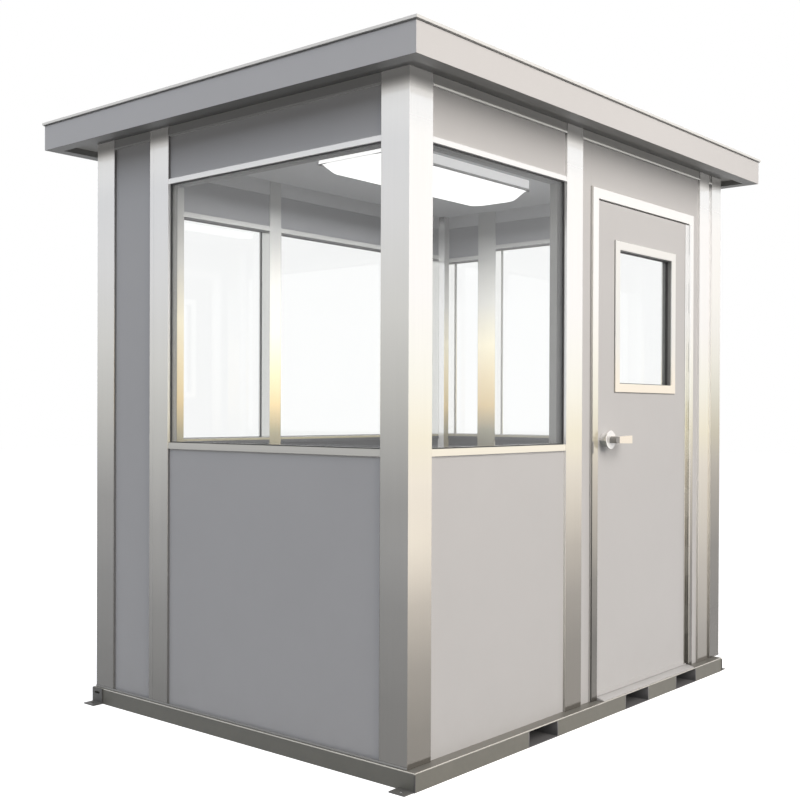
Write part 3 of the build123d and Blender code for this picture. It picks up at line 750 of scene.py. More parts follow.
def make_materials():
    """Every finish of the booth."""
    GROUPS["grain"] = brushed_grain_group()
    GROUPS["paint"] = sprayed_paint_group()
    GROUPS["dust"] = foot_dust_group()
    GROUPS["inside"] = inside_group()
    GROUPS["tone"] = reflection_tone_group("Metal tone", METAL_REFLECTION_TONES)
    GROUPS["room_tone"] = reflection_tone_group("Metal tone in the room", ROOM_REFLECTION_TONES)
    GROUPS["far_tone"] = reflection_tone_group("Metal tone at the far corner", FAR_REFLECTION_TONES)
    look = finish()
    wall, roof, room = tuple(look.wall_paint), tuple(look.roof_paint), tuple(look.room_paint)
    # Painted shade of the room under its windows, for the lower panels' inner faces and the sill
    # boards.
    shaded_low_room = tuple(channel * LOW_ROOM_SHADE for channel in room)
    MATERIALS.update({
        "wall": painted("Wall panel paint", wall, 0.5, dust=0.1, room=room),
        "wall_low": painted("Lower wall panel paint", wall, 0.5, dust=0.1, room=shaded_low_room),
        "door": painted("Door paint", wall, 0.42, dust=0.1, room=room),
        "sill_board": painted("Sill board paint", shaded_low_room, 0.5),
        "roof": painted("Fascia paint", roof, 0.45, size=2.2),
        "sheet": painted("Roof sheet paint", roof, 0.45, size=1.4, amount=0.14),
        "soffit": eaves_paint("Soffit paint", tuple(look.soffit_paint)),
        "base": painted("Base paint", tuple(look.base_paint), 0.5, size=9.0, amount=0.12,
                        dust=0.12),
        # Painted light and shade in the pockets: paler than the base paint, and darker towards
        # their floor.
        "pocket": painted("Pocket paint", (0.30, 0.30, 0.305), 0.6, size=12.0, amount=0.1,
                          foot=((0.150, 0.150, 0.153), 0.005, 0.055)),
        "weld": painted("Weld bead paint", (0.055, 0.053, 0.05), 0.45, size=160.0, amount=0.6,
                        peel=0.0006),
        "anchor": painted("Anchor paint", (0.10, 0.10, 0.095), 0.5, size=20.0, dust=0.2),
        "ceiling": painted("Ceiling paint", (0.380, 0.385, 0.400), 0.6),
        # The top track is painted grey, and darker where it looks along Y: painted shade of the
        # eaves.
        "track": painted("Top track paint", (0.60, 0.60, 0.585), 0.5),
        "track_shade": painted("Top track paint in the shade", (0.40, 0.40, 0.395), 0.5),
        # Creamier towards its foot: a painted warm reflection of the low sun, as on the metal.
        "trim": painted("Window trim paint", tuple(look.trim_paint), 0.3, size=6.0, amount=0.04,
                        foot=((0.97, 0.91, 0.78), 1.30, 1.60)),
        "reveal": painted("Reveal paint", (0.19, 0.19, 0.185), 0.45, size=20.0, amount=0.15),
        "head_shade": painted("Head underside paint", (0.17, 0.17, 0.172), 0.6, size=20.0),
        # The aluminium from here on wears the painted reflection by height, unless a tone is
        # given; its copies for each post, wall and part are lit and shaded differently: painted
        # light and shade.
        "near_corner": bare_metal("Near corner aluminium", stretch=0.55, lift=0.05),
        "left_corner": bare_metal("Left corner aluminium", lift=0.10),
        "far_corner": bare_metal("Far corner aluminium", stretch=0.0, tones="far_tone"),
        "binder_x": bare_metal("Binder aluminium, front and back", lift=0.2),
        "binder_y": bare_metal("Binder aluminium, right and left", stretch=0.7, lift=-0.24),
        "slim": bare_metal("Slim binder aluminium", stretch=0.0, lift=0.45),
        # Painted light: the sides of the posts beside the panels are painted lighter than the
        # shade on them.
        "shoulder": bare_metal("Aluminium beside the panels", stretch=0.0, lift=0.9),
        "room_metal": bare_metal("Aluminium towards the room", stretch=0.0, metallic=0.0,
                                 tones="room_tone"),
        "frame": bare_metal("Door frame aluminium", stretch=0.25, lift=-0.1, tones="far_tone",
                            shade=1.03),
        "hinge": bare_metal("Hinge aluminium", stretch=0.25, lift=0.2, metallic=0.85),
        "sill_x": bare_metal("Sill and head aluminium across", GRAIN_X, lift=0.12),
        "sill_y": bare_metal("Sill and head aluminium along", GRAIN_Y, lift=0.12),
        # Copies of the jamb aluminium in painted light and shade, for each wall's light.
        "jamb": bare_metal("Jamb aluminium", tone=(0.30, 0.30, 0.29), metallic=0.2),
        "jamb_dark": bare_metal("Jamb aluminium in the shade", tone=(0.13, 0.13, 0.13),
                                metallic=0.1, roughness=0.35),
        "jamb_light": bare_metal("Jamb aluminium in the light", tone=BRIGHT, metallic=0.95,
                                 roughness=0.08),
        "jamb_mid": bare_metal("Jamb aluminium, left", tone=(0.80, 0.80, 0.78), metallic=0.6),
        "edge": bare_metal("Roof edge aluminium", GRAIN_Y, tone=(0.80, 0.79, 0.76)),
        "deck": bare_metal("Deck plate", GRAIN_X, tone=(0.27, 0.26, 0.235), roughness=0.4,
                           contrast=0.06),
        "flashing": bare_metal("Flashing", GRAIN_X, tone=(0.22, 0.218, 0.21), roughness=0.3),
        "rim": bare_metal("Deck rim", GRAIN_Y, tone=(0.62, 0.60, 0.54), roughness=0.25),
        "rose": bare_metal("Rose metal", (200, 30, 200), tone=(0.95, 0.94, 0.92)),
        "rose_shade": painted("Rose metal, lower half", (0.40, 0.42, 0.41), 0.35, size=60.0,
                              amount=0.3),
        "lever": painted("Lever finish", (0.93, 0.86, 0.74), 0.25, size=12.0, amount=0.05),
        # Dark: painted shade on the lever's neck; the strike lip takes this finish too.
        "neck": painted("Lever neck finish", (0.27, 0.262, 0.25), 0.35, size=30.0, amount=0.2),
        "screw": bare_metal("Screw steel", (200, 200, 200), tone=(0.55, 0.55, 0.54)),
        "seal": painted("Seal rubber", tuple(look.seal_colour), 0.55, size=40.0, amount=0.4,
                        peel=0.0001),
        "gasket": painted("Gasket rubber", (0.21, 0.21, 0.205), 0.6, size=40.0, amount=0.3,
                          peel=0.0001),
        "sealant": painted("Sealant", (0.45, 0.44, 0.42), 0.6, size=40.0),
        # The housing glows though no tube is in it: painted light.
        "lamp_body": lamp_plastic("Lit housing", (0.55, 0.55, 0.55), (0.48, 0.48, 0.48)),
        "lamp_joint": painted("Lamp joint", (0.72, 0.72, 0.72), 0.5, size=30.0),
        "lamp": lamp_plastic("Lit diffuser", (0.80, 0.80, 0.79), (0.92, 0.92, 0.91)),
        "glass": window_glass(),
    })


# ---------------------------------------------------------------- base
RAIL_ROUND, SHEET_ROUND, DECK_ROUND = 0.0010, 0.0006, 0.0008
WELD_RADIUS, WELD_ROUND, WELD_SIDES = 0.003, 0.0012, 12
WELD_FROM_GROUND, WELD_BELOW_TOP = 0.003, 0.002
FLASHING_DEPTHS = (-0.0015, -0.0001)
FLASHING_GAP, FLASHING_ROUND = 0.0002, 0.0004
RIM_WIDTH, RIM_HEIGHT, RIM_ROUND = 0.0028, 0.0025, 0.0005
RIM_OUT = Vector((0.0003, 0.0003, 0.0003))


class GUARDBOOTH_OT_base(bpy.types.Operator):
    """Steel rails with welded corners, fork pockets, deck, slotted anchors and wall flashing"""
    bl_idname = "guardbooth.base"
    bl_label = "Base"

    def execute(self, context):
        for node in ("base_front_rail", "base_back_rail", "base_left_rail", "base_right_rail"):
            put(rounded(node, RAIL_ROUND), "base_steel", "base", node)
        pockets = merged_copy("fork_pocket_walls", "fork_pockets_rounded")
        round_edges(pockets, SHEET_ROUND)
        put(pockets, "base_steel", "pocket", "fork_pocket_walls")
        for node in ("anchor_clips", "anchor_tabs"):
            put(rounded(node, SHEET_ROUND), "anchor_steel", "anchor", node)
        put(rounded("floor_deck", DECK_ROUND), "deck_plate", "deck", "floor_deck")

        # The deck's rim is a brighter strip: a painted highlight along the deck's edge.
        low, high = box_of("floor_deck")
        low.z = high.z - RIM_HEIGHT
        rim = ring("deck_rim", low - RIM_OUT, high + RIM_OUT, "z", RIM_WIDTH, RIM_ROUND)
        put(rim, "deck_plate", "rim")

        low, high = box_of("base_front_rail")
        beads = []
        for y in (low.y, box_of("base_back_rail")[1].y):
            for x in (low.x, high.x):
                bead = add_rod(f"weld_bead_{len(beads) + 1}", (x, y, WELD_FROM_GROUND),
                               (x, y, high.z - WELD_BELOW_TOP), WELD_RADIUS, WELD_SIDES)
                beads.append(round_edges(bead, WELD_ROUND))
        put(join("base_weld_beads", beads), "base_steel", "weld")

        runs = {"front": (LEFT_X, RIGHT_X), "back": (LEFT_X, RIGHT_X), "left": (FRONT_Y, BACK_Y)}
        for wall, along in runs.items():
            span = wall_span(wall, along, FLASHING_DEPTHS,
                             (FLOOR_Z + FLASHING_GAP, FLOOR_Z + sizes().flashing_height))
            strip = bar(f"{wall}_wall_flashing", *span, rounding=FLASHING_ROUND)
            put(strip, "deck_plate", "flashing")
        return {"FINISHED"}


# ---------------------------------------------------------------- posts
GROOVE_DEPTH = 0.0015
GROOVE_ENDS = 0.002
GROOVE_FROM_EDGE = 0.024
SLIM_POST = 0.1     # a post that is narrower than this has a tone of its own
INNER_PART = 0.012  # how much of a post's depth faces the room
# The finish of each corner post, and its two walls.
CORNER_POSTS = {"corner_post_front_left": ("left_corner", "front", "left"),
                "corner_post_front_right": ("near_corner", "front", "right"),
                "corner_post_back_left": ("left_corner", "back", "left"),
                "corner_post_back_right": ("far_corner", "back", "right")}


class GUARDBOOTH_OT_posts(bpy.types.Operator):
    """Aluminium posts with crisp edges and joint grooves"""
    bl_idname = "guardbooth.posts"
    bl_label = "Posts"

    def execute(self, context):
        for node, (metal, *walls) in CORNER_POSTS.items():
            post = put(rounded(node, sizes().edge_round), "post_aluminium", metal, node)
            for wall in walls:
                self.turn_to_room(post, wall)
        for post in separate_solids("binder_posts", "binder_post"):
            wall, (start, end) = along_wall(*corners(post))
            round_edges(post, sizes().edge_round)
            if wall == "front":
                self.groove(post, wall, start + GROOVE_FROM_EDGE)
            elif wall == "back":
                self.groove(post, wall, (start + end) / 2)
            metal = "binder_" + run_of(wall)
            if wall == "right" and end - start < SLIM_POST:
                metal = "slim"
            put(post, "post_aluminium", metal, "binder_posts")
            self.turn_to_room(post, wall)
        return {"FINISHED"}

    def groove(self, post, wall, middle):
        """Cut a joint groove down a post's outer face and mend its shading."""
        low, high = corners(post)
        bottom, top = low.z + GROOVE_ENDS, high.z - GROOVE_ENDS
        look, across = AXES[facing(wall)], AXES[run_of(wall)]
        inward = WALLS[wall][1]
        half = sizes().groove_width / 2
        edit(post)
        for axis, place in ((run_of(wall), middle - half), (run_of(wall), middle + half),
                            ("z", bottom), ("z", top)):
            cut_across(axis, place)

        def strip(face):
            centre = face.calc_center_median()
            return (face.normal[look] * inward < -STRAIGHT and abs(centre[across] - middle) < half
                    and bottom < centre.z < top)
        choose(post, "faces", strip)
        move = Vector()
        move[look] = inward * GROOVE_DEPTH
        extrude_by(move)
        close()
        smooth(post)

    def turn_to_room(self, post, wall):
        """The inner part of a post takes the room's painted reflection; its shoulders beside the
        panels are painted lighter: painted light where shade falls.
        """
        inner = into_room(wall)
        outer, inward = WALLS[wall]
        index = AXES[facing(wall)]

        def shoulder(face):
            return (abs(face.normal.y) > ROUGHLY
                    and FRONT_Y + PANEL_SET_BACK < face.center.y < BACK_Y - PANEL_SET_BACK)

        def towards_room(face):
            deep = (face.center[index] - outer) * inward > POST_DEPTH - INNER_PART
            return inner(face) or (deep and abs(face.normal.z) < PARTLY)
        if run_of(wall) == "y":
            add_slot(post, "shoulder", shoulder)
        add_slot(post, "room_metal", towards_room)


# ---------------------------------------------------------------- wall panels
PANELS = {
    "front": ("front_side_panel", "front_lower_panel", "front_transom_panel"),
    "right": ("right_lower_panel", "right_transom_panel"),
    "left": ("left_lower_panels", "left_transom_panels"),
    "back": ("back_lower_panels", "back_transom_panels"),
}
GASKET_START = 0.0010
GASKET_OVERLAP = 0.0005
RUBBER_ROUND = 0.0003


class GUARDBOOTH_OT_panels(bpy.types.Operator):
    """Painted wall panels, held at their sides by thin gaskets"""
    bl_idname = "guardbooth.panels"
    bl_label = "Wall panels"

    def execute(self, context):
        paint_node("door_header_panel", "wall")
        for wall, nodes in PANELS.items():
            for node in nodes:
                paint_node(node, "wall_low" if "lower" in node else "wall")
            if wall != "right":
                self.gaskets(wall, nodes)

        # Beside the door the strips are painted; the one at the back corner is bare metal.
        strips = separate_solids("right_side_panels", "right_side_panel")
        for strip in strips:
            round_edges(strip, SHEET_ROUND)
            put(strip, "wall_panel", "wall", "right_side_panels")
        strips[-1].data.materials[0] = MATERIALS["slim"]
        return {"FINISHED"}

    def gaskets(self, wall, nodes):
        """A strip at either side of each panel of a wall."""
        width = sizes().gasket_width
        along, across = AXES[run_of(wall)], AXES[facing(wall)]
        outer, inward = WALLS[wall]
        strips = []
        for low, high in (span for node in nodes for span in spans(node)):
            face = low[across] if inward > 0 else high[across]
            depths = (GASKET_START, abs(face - outer) + GASKET_OVERLAP)
            for start in (low[along], high[along] - width):
                span = wall_span(wall, (start, start + width), depths,
                                 (low.z + HAIR, high.z - HAIR))
                strips.append(bar(f"{wall}_gasket_{len(strips)}", *span, RUBBER_ROUND, 1))
        put(join(f"{wall}_panel_gaskets", strips), "wall_panel", "gasket")


# ---------------------------------------------------------------- windows
SEAL_DEPTHS = (0.0125, 0.0235)
JAMB_DEPTHS = (0.0236, 0.047)
LINER_DEPTHS = (0.0475, 0.0818)
JAMB_WIDTH = 0.0010
LINER_WIDTH = 0.0020
OPENING_GAP = Vector((0.0005, 0.0005, 0.0005))
SILL_BELOW = 1.5    # a window bar lower than this is a sill
SILL_NOSE = 0.010
BOARD_DROP, BOARD_ROUND = 0.002, 0.0004
BOARD_DEPTHS = (POST_DEPTH - 0.0002, POST_DEPTH + 0.0015)
# Finish of the jambs beside the glass and of the liner further in, by wall: light and dark copies
# of one aluminium, painted light and shade as the light falls on each wall.
JAMBS = {"front": ("jamb", "room_metal"), "back": ("jamb_light", "jamb_light"),
         "right": ("jamb_dark", "jamb"), "left": ("jamb_mid", "jamb_mid")}


class GUARDBOOTH_OT_window_bars(bpy.types.Operator):
    """Sills and heads of the windows, with a painted board under each sill inside"""
    bl_idname = "guardbooth.window_bars"
    bl_label = "Window bars"

    def execute(self, context):
        for number, piece in enumerate(separate_solids("window_bars", "window_bar"), 1):
            low, high = corners(piece)
            wall, ends = along_wall(low, high, HAIR)
            round_edges(piece, sizes().edge_round)
            put(piece, "window_bar", "sill_" + run_of(wall), "window_bars")
            add_slot(piece, "room_metal", into_room(wall))
            if low.z < SILL_BELOW:
                span = wall_span(wall, ends, BOARD_DEPTHS,
                                 (low.z - BOARD_DROP, high.z - SILL_NOSE))
                board = bar(f"{wall}_sill_board_{number}", *span, rounding=BOARD_ROUND)
                put(board, "wall_panel", "sill_board")
        return {"FINISHED"}


class GUARDBOOTH_OT_glazing(bpy.types.Operator):
    """Glass with the seal round each pane, the cover of the jambs and the inner liner"""
    bl_idname = "guardbooth.glazing"
    bl_label = "Glazing"

    def execute(self, context):
        kinds = (("seal", SEAL_DEPTHS, sizes().seal_reach),
                 ("jamb_cover", JAMB_DEPTHS, JAMB_WIDTH),
                 ("liner", LINER_DEPTHS, LINER_WIDTH))
        for wall in WALLS:
            node = wall + "_glass"
            paint_node(node, "glass")
            cover, liner = JAMBS[wall]
            # The back wall's seals take the pale sealant: painted light, as for its jambs.
            finishes = {"seal": "sealant" if wall == "back" else "seal",
                        "jamb_cover": cover, "liner": liner}
            for number, (low, high) in enumerate(spans(node), 1):
                low, high = low - OPENING_GAP, high + OPENING_GAP
                ends = along_wall(low, high)[1]
                for kind, depths, width in kinds:
                    span = wall_span(wall, ends, depths, (low.z, high.z))
                    piece = ring(f"{wall}_window_{kind}_{number}", *span, facing(wall), width,
                                 RUBBER_ROUND)
                    put(piece, "window_bar", finishes[kind])
                    if kind != "seal":
                        # The undersides of the heads are painted dark: painted shade.
                        add_slot(piece, "head_shade", looks("z", -1))
                    if kind == "liner":
                        add_slot(piece, "room_metal", looks("z", 1))
        return {"FINISHED"}


# ---------------------------------------------------------------- roof
TRACK_BEAD_OUT, TRACK_BEAD_IN = 0.0005, 0.004
TRACK_BEAD_HEIGHT = 0.006
TRACK_ROUND, FASCIA_ROUND, EDGE_ROUND, ROOF_SHEET_ROUND = 0.0008, 0.0012, 0.0015, 0.001
CAP_GAP = Vector((0.004, 0.004, 0))
CAP_RIM = 0.045
CAP_SEAL_WIDTH = 0.03
SHEET_DROP = 0.004
SHEET_OVERLAP = 0.002
SEAM_WIDTH, SEAM_HEIGHT = 0.012, 0.0035
LOOKS_IN = -0.3     # a face's place times its normal, where it looks towards the middle


class GUARDBOOTH_OT_roof(bpy.types.Operator):
    """Top track in painted shade with its bright bead, a painted highlight, soffit, fascia, and
    the roof sheet in its bright edge
    """
    bl_idname = "guardbooth.roof"
    bl_label = "Roof"

    def execute(self, context):
        for track in separate_solids("top_track", "top_track"):
            wall, ends = along_wall(*corners(track), HAIR / 2)
            round_edges(track, TRACK_ROUND)
            put(track, "post_aluminium", "track", "top_track")
            add_slot(track, "track_shade", looks("y"))
            add_slot(track, "ceiling", into_room(wall))
            span = wall_span(wall, ends, (-TRACK_BEAD_OUT, TRACK_BEAD_IN),
                             (TRACK_BOTTOM - HAIR, TRACK_BOTTOM + TRACK_BEAD_HEIGHT))
            # The bead is a painted highlight along the track's lower edge; its faces along Y take
            # the track paint.
            bead = bar(track.name + "_bead", *span)
            put(bead, "post_aluminium", "jamb_mid")
            add_slot(bead, "track", looks("y"))
        # The roof panel's underside is the soffit, dark with painted shade.
        paint_node("roof_panel", "soffit")
        paint_node("ceiling_panel", "ceiling")

        low, high = box_of("fascia")
        width = box_of("roof_panel")[0].x - low.x
        fascia = ring("fascia_boards", low, high, "z", width, FASCIA_ROUND)
        put(fascia, "roof_metal", "roof", "fascia")
        # The fascia's underside and inner faces take the soffit paint: painted shade of the
        # overhang.
        add_slot(fascia, "soffit",
                 lambda f: (f.normal.z < -ROUGHLY or f.center.x * f.normal.x < LOOKS_IN
                            or f.center.y * f.normal.y < LOOKS_IN))

        low, high = box_of("roof_cap")
        edge_low = high.z - sizes().cap_edge
        edge = ring("roof_edge", (low.x, low.y, edge_low), high, "z", CAP_RIM, EDGE_ROUND)
        put(edge, "roof_metal", "edge", "roof_cap")
        # The dark seal under the roof's edge is partly a joint and partly the painted shadow of
        # the edge's lip.
        seal_high = Vector((high.x, high.y, edge_low + HAIR)) - CAP_GAP
        seal = ring("roof_edge_seal", low + CAP_GAP, seal_high, "z", CAP_SEAL_WIDTH)
        put(seal, "roof_metal", "gasket", "roof_cap")
        put(self.sheet(low, high), "roof_metal", "sheet", "roof_cap")
        return {"FINISHED"}

    def sheet(self, low, high):
        """The roof sheet inside the edge, with low ribs across it."""
        rim = CAP_RIM - SHEET_OVERLAP
        sheet = add_block("roof_sheet", low + Vector((rim, rim, 0)),
                          high - Vector((rim, rim, SHEET_DROP)))
        pitch = sizes().seam_pitch
        count = int((high.y - low.y - 2 * CAP_RIM) / pitch)
        first = (low.y + high.y) / 2 - pitch * (count - 1) / 2
        places = [first + pitch * n for n in range(count)]
        edit(sheet)
        for place in places:
            cut_across("y", place - SEAM_WIDTH / 2)
            cut_across("y", place + SEAM_WIDTH / 2)

        def rib(face):
            y = face.calc_center_median().y
            return face.normal.z > STRAIGHT and any(abs(y - p) < SEAM_WIDTH / 2 for p in places)
        choose(sheet, "faces", rib)
        extrude_by((0, 0, SEAM_HEIGHT))
        close()
        return round_edges(sheet, ROOF_SHEET_ROUND)


# ---------------------------------------------------------------- ceiling light and inner trim
# Of each: the radius of its corners, and the width, segments and least angle of its edges.
LIGHT_CORNER, LIGHT_EDGES = 0.022, (0.003, 3, 40)
LENS_CORNER, LENS_EDGES = 0.045, (0.010, 4, 22)
LIGHT_JOINT_WIDTH, LIGHT_JOINT_BELOW, LIGHT_JOINT_ABOVE = 0.012, 0.004, 0.006
TRIM_DEPTHS = (0.0761, 0.0815)
TRIM_HEIGHT, TRIM_ROUND = 0.047, 0.0015


class GUARDBOOTH_OT_light(bpy.types.Operator):
    """Ceiling light with its housing and milky diffuser, and the trim under the ceiling"""
    bl_idname = "guardbooth.ceiling_light"
    bl_label = "Ceiling light"

    def execute(self, context):
        housing = merged_copy("light_housing", "light_housing_rounded")
        round_edges(round_corners(housing, LIGHT_CORNER), *LIGHT_EDGES)
        # The housing takes a painted glow.
        put(housing, "light_body", "lamp_body", "light_housing")
        add_slot(housing, "lamp", looks("y"))
        lens = merged_copy("light_lens", "light_lens_rounded")
        round_edges(round_corners(lens, LENS_CORNER), *LENS_EDGES)
        put(lens, "light_diffuser", "lamp", "light_lens")

        low, high = box_of("light_housing")
        joint = ring("light_joint", (low.x - HAIR, low.y - HAIR, low.z - LIGHT_JOINT_BELOW),
                     (high.x + HAIR, high.y + HAIR, low.z + LIGHT_JOINT_ABOVE), "z",
                     LIGHT_JOINT_WIDTH)
        put(round_corners(joint, LIGHT_CORNER), "light_body", "lamp_joint")
        add_slot(joint, "lamp", looks("y"))

        frame_start = box_of("door_frame")[0].y
        for track in spans("top_track"):
            wall, ends = along_wall(*track, HAIR)
            if wall == "right" and ends[0] < frame_start < ends[1]:
                continue
            span = wall_span(wall, ends, TRIM_DEPTHS, (TRACK_BOTTOM - TRIM_HEIGHT, TRACK_BOTTOM))
            trim = bar(f"{wall}_ceiling_trim", *span, rounding=TRIM_ROUND)
            put(trim, "wall_panel", "ceiling")
        return {"FINISHED"}


# ---------------------------------------------------------------- door frame
SEALANT_WIDTH, SEALANT_REACH, SEALANT_ROUND = 0.004, 0.0055, 0.002
# The strike lip: out of the wall, from the leaf's edge, and from the middle of the lock.
STRIKE_LOW = (0.0015, -0.050, -0.054)
STRIKE_HIGH = (0.0034, -0.042, -0.006)
FRAME_ROUND = 0.0015
RIBS, RIB_PITCH = 3, 0.012
RIB_SIDE, RIB_END, RIB_ROOT, RIB_TOP = 0.0015, 0.004, 0.0010, 0.0015
RIB_ROUND = 0.0010


class GUARDBOOTH_OT_door_frame(bpy.types.Operator):
    """Door frame with its sealant and strike lip, and the ribbed threshold"""
    bl_idname = "guardbooth.door_frame"
    bl_label = "Door frame"

    def execute(self, context):
        put(rounded("door_frame", FRAME_ROUND), "door_trim_white", "frame", "door_frame")

        low, high = box_of("door_frame")
        face = RIGHT_X - PANEL_SET_BACK
        start, end, foot = low.y - SEALANT_WIDTH, high.y + SEALANT_WIDTH, FLOOR_Z + HAIR
        runs = ((start, low.y, foot), (high.y, end, foot), (start, end, high.z))
        strips = [bar(f"sealant_{number}", (face, near, bottom),
                      (face + SEALANT_REACH, far, high.z + SEALANT_WIDTH), SEALANT_ROUND)
                  for number, (near, far, bottom) in enumerate(runs, 1)]
        put(join("door_frame_sealant", strips), "door_trim_white", "sealant")

        lock_low, lock_high = box_of("lock_roses")
        origin = Vector((RIGHT_X, box_of("door_leaf")[0].y, (lock_low.z + lock_high.z) / 2))
        strike = bar("strike_lip", origin + Vector(STRIKE_LOW), origin + Vector(STRIKE_HIGH))
        put(strike, "door_trim_white", "neck")

        saddle = merged_copy("door_threshold", "door_threshold_rounded")
        low, high = corners(saddle)
        pieces = [round_edges(saddle, RIB_ROUND)]
        for number in range(RIBS):
            x = RIGHT_X - RIB_PITCH * (number + 1)
            pieces.append(bar(f"rib_{number}", (x - RIB_SIDE, low.y + RIB_END, high.z - RIB_ROOT),
                              (x + RIB_SIDE, high.y - RIB_END, high.z + RIB_TOP), RIB_ROUND))
        saddle = join("door_threshold_rounded", pieces)
        put(saddle, "threshold_aluminium", "door", "door_threshold")
        return {"FINISHED"}


# ---------------------------------------------------------------- door
LEAF_ROUND = 0.0012
SWEEP_LOW, SWEEP_HIGH = 0.0775, 0.098
SWEEP_SUNK, SWEEP_OUT, SWEEP_END, SWEEP_ROUND = 0.0005, 0.0015, 0.002, 0.0006
# Round the door's window: how far the reveal is set in from the trim's outside.
REVEAL_INSET = Vector((0, 0.0285, 0.0285))
REVEAL_WIDTH, REVEAL_SUNK, REVEAL_ROUND = 0.0085, 0.0005, 0.0008
GLASS_SEAL_WIDTH, GLASS_SEAL_OUT = 0.0115, 0.005
TRIM_GASKET_WIDTH, TRIM_GASKET_SUNK, TRIM_GASKET_OUT = 0.008, 0.0002, 0.0015
GASKET_LIP = Vector((0, 0.0015, 0.0015))
WINDOW_TRIM_ROUND, TRIM_GASKET_ROUND = 0.002, 0.0004
KNUCKLE_RADIUS = 0.0045
HINGE_ROUND, HINGE_COVER_ROUND = 0.0004, 0.0003
# The cover of the gap behind the knuckles: out of the leaf, short of the pin, and along Y from it.
COVER_START, COVER_END, COVER_SPAN = 0.0015, 0.0042, (-0.0044, -0.0026)
# From the pin along Y: where the flat parts of the leaves start.
FRAME_LEAF_START, DOOR_LEAF_START = 0.0055, -0.0085
# The rounding of the roses, their shank and the lever, and its segments.
INNER_ROSE_EDGES, DISC_EDGES = (0.002, 3), (0.0022, 3)
SHANK_EDGES, LEVER_EDGES = (0.003, 3), (0.0025, 3)
DISC_THICKNESS, SHANK_END, SHANK_SHARE, ROUND_SIDES = 0.008, 0.006, 0.74, 48
ROSE_SHADE_BELOW, DISC_FACE = 0.004, 0.0015
PADDLE_THICKNESS = 0.012
PADDLE_NARROW = 0.015
# How far from the spindle the neck ends and the taper ends, and what the taper leaves there.
NECK_END, NECK_SHARE = 0.016, 0.80
TAPER_END, TAPER_SHARE = 0.055, 0.90
PLATE_HALF_HEIGHT, PLATE_MARGIN, PLATE_ROUND = 0.028, 0.010, 0.0004
PLATE_OUT, PLATE_SUNK = 0.0008, 0.002


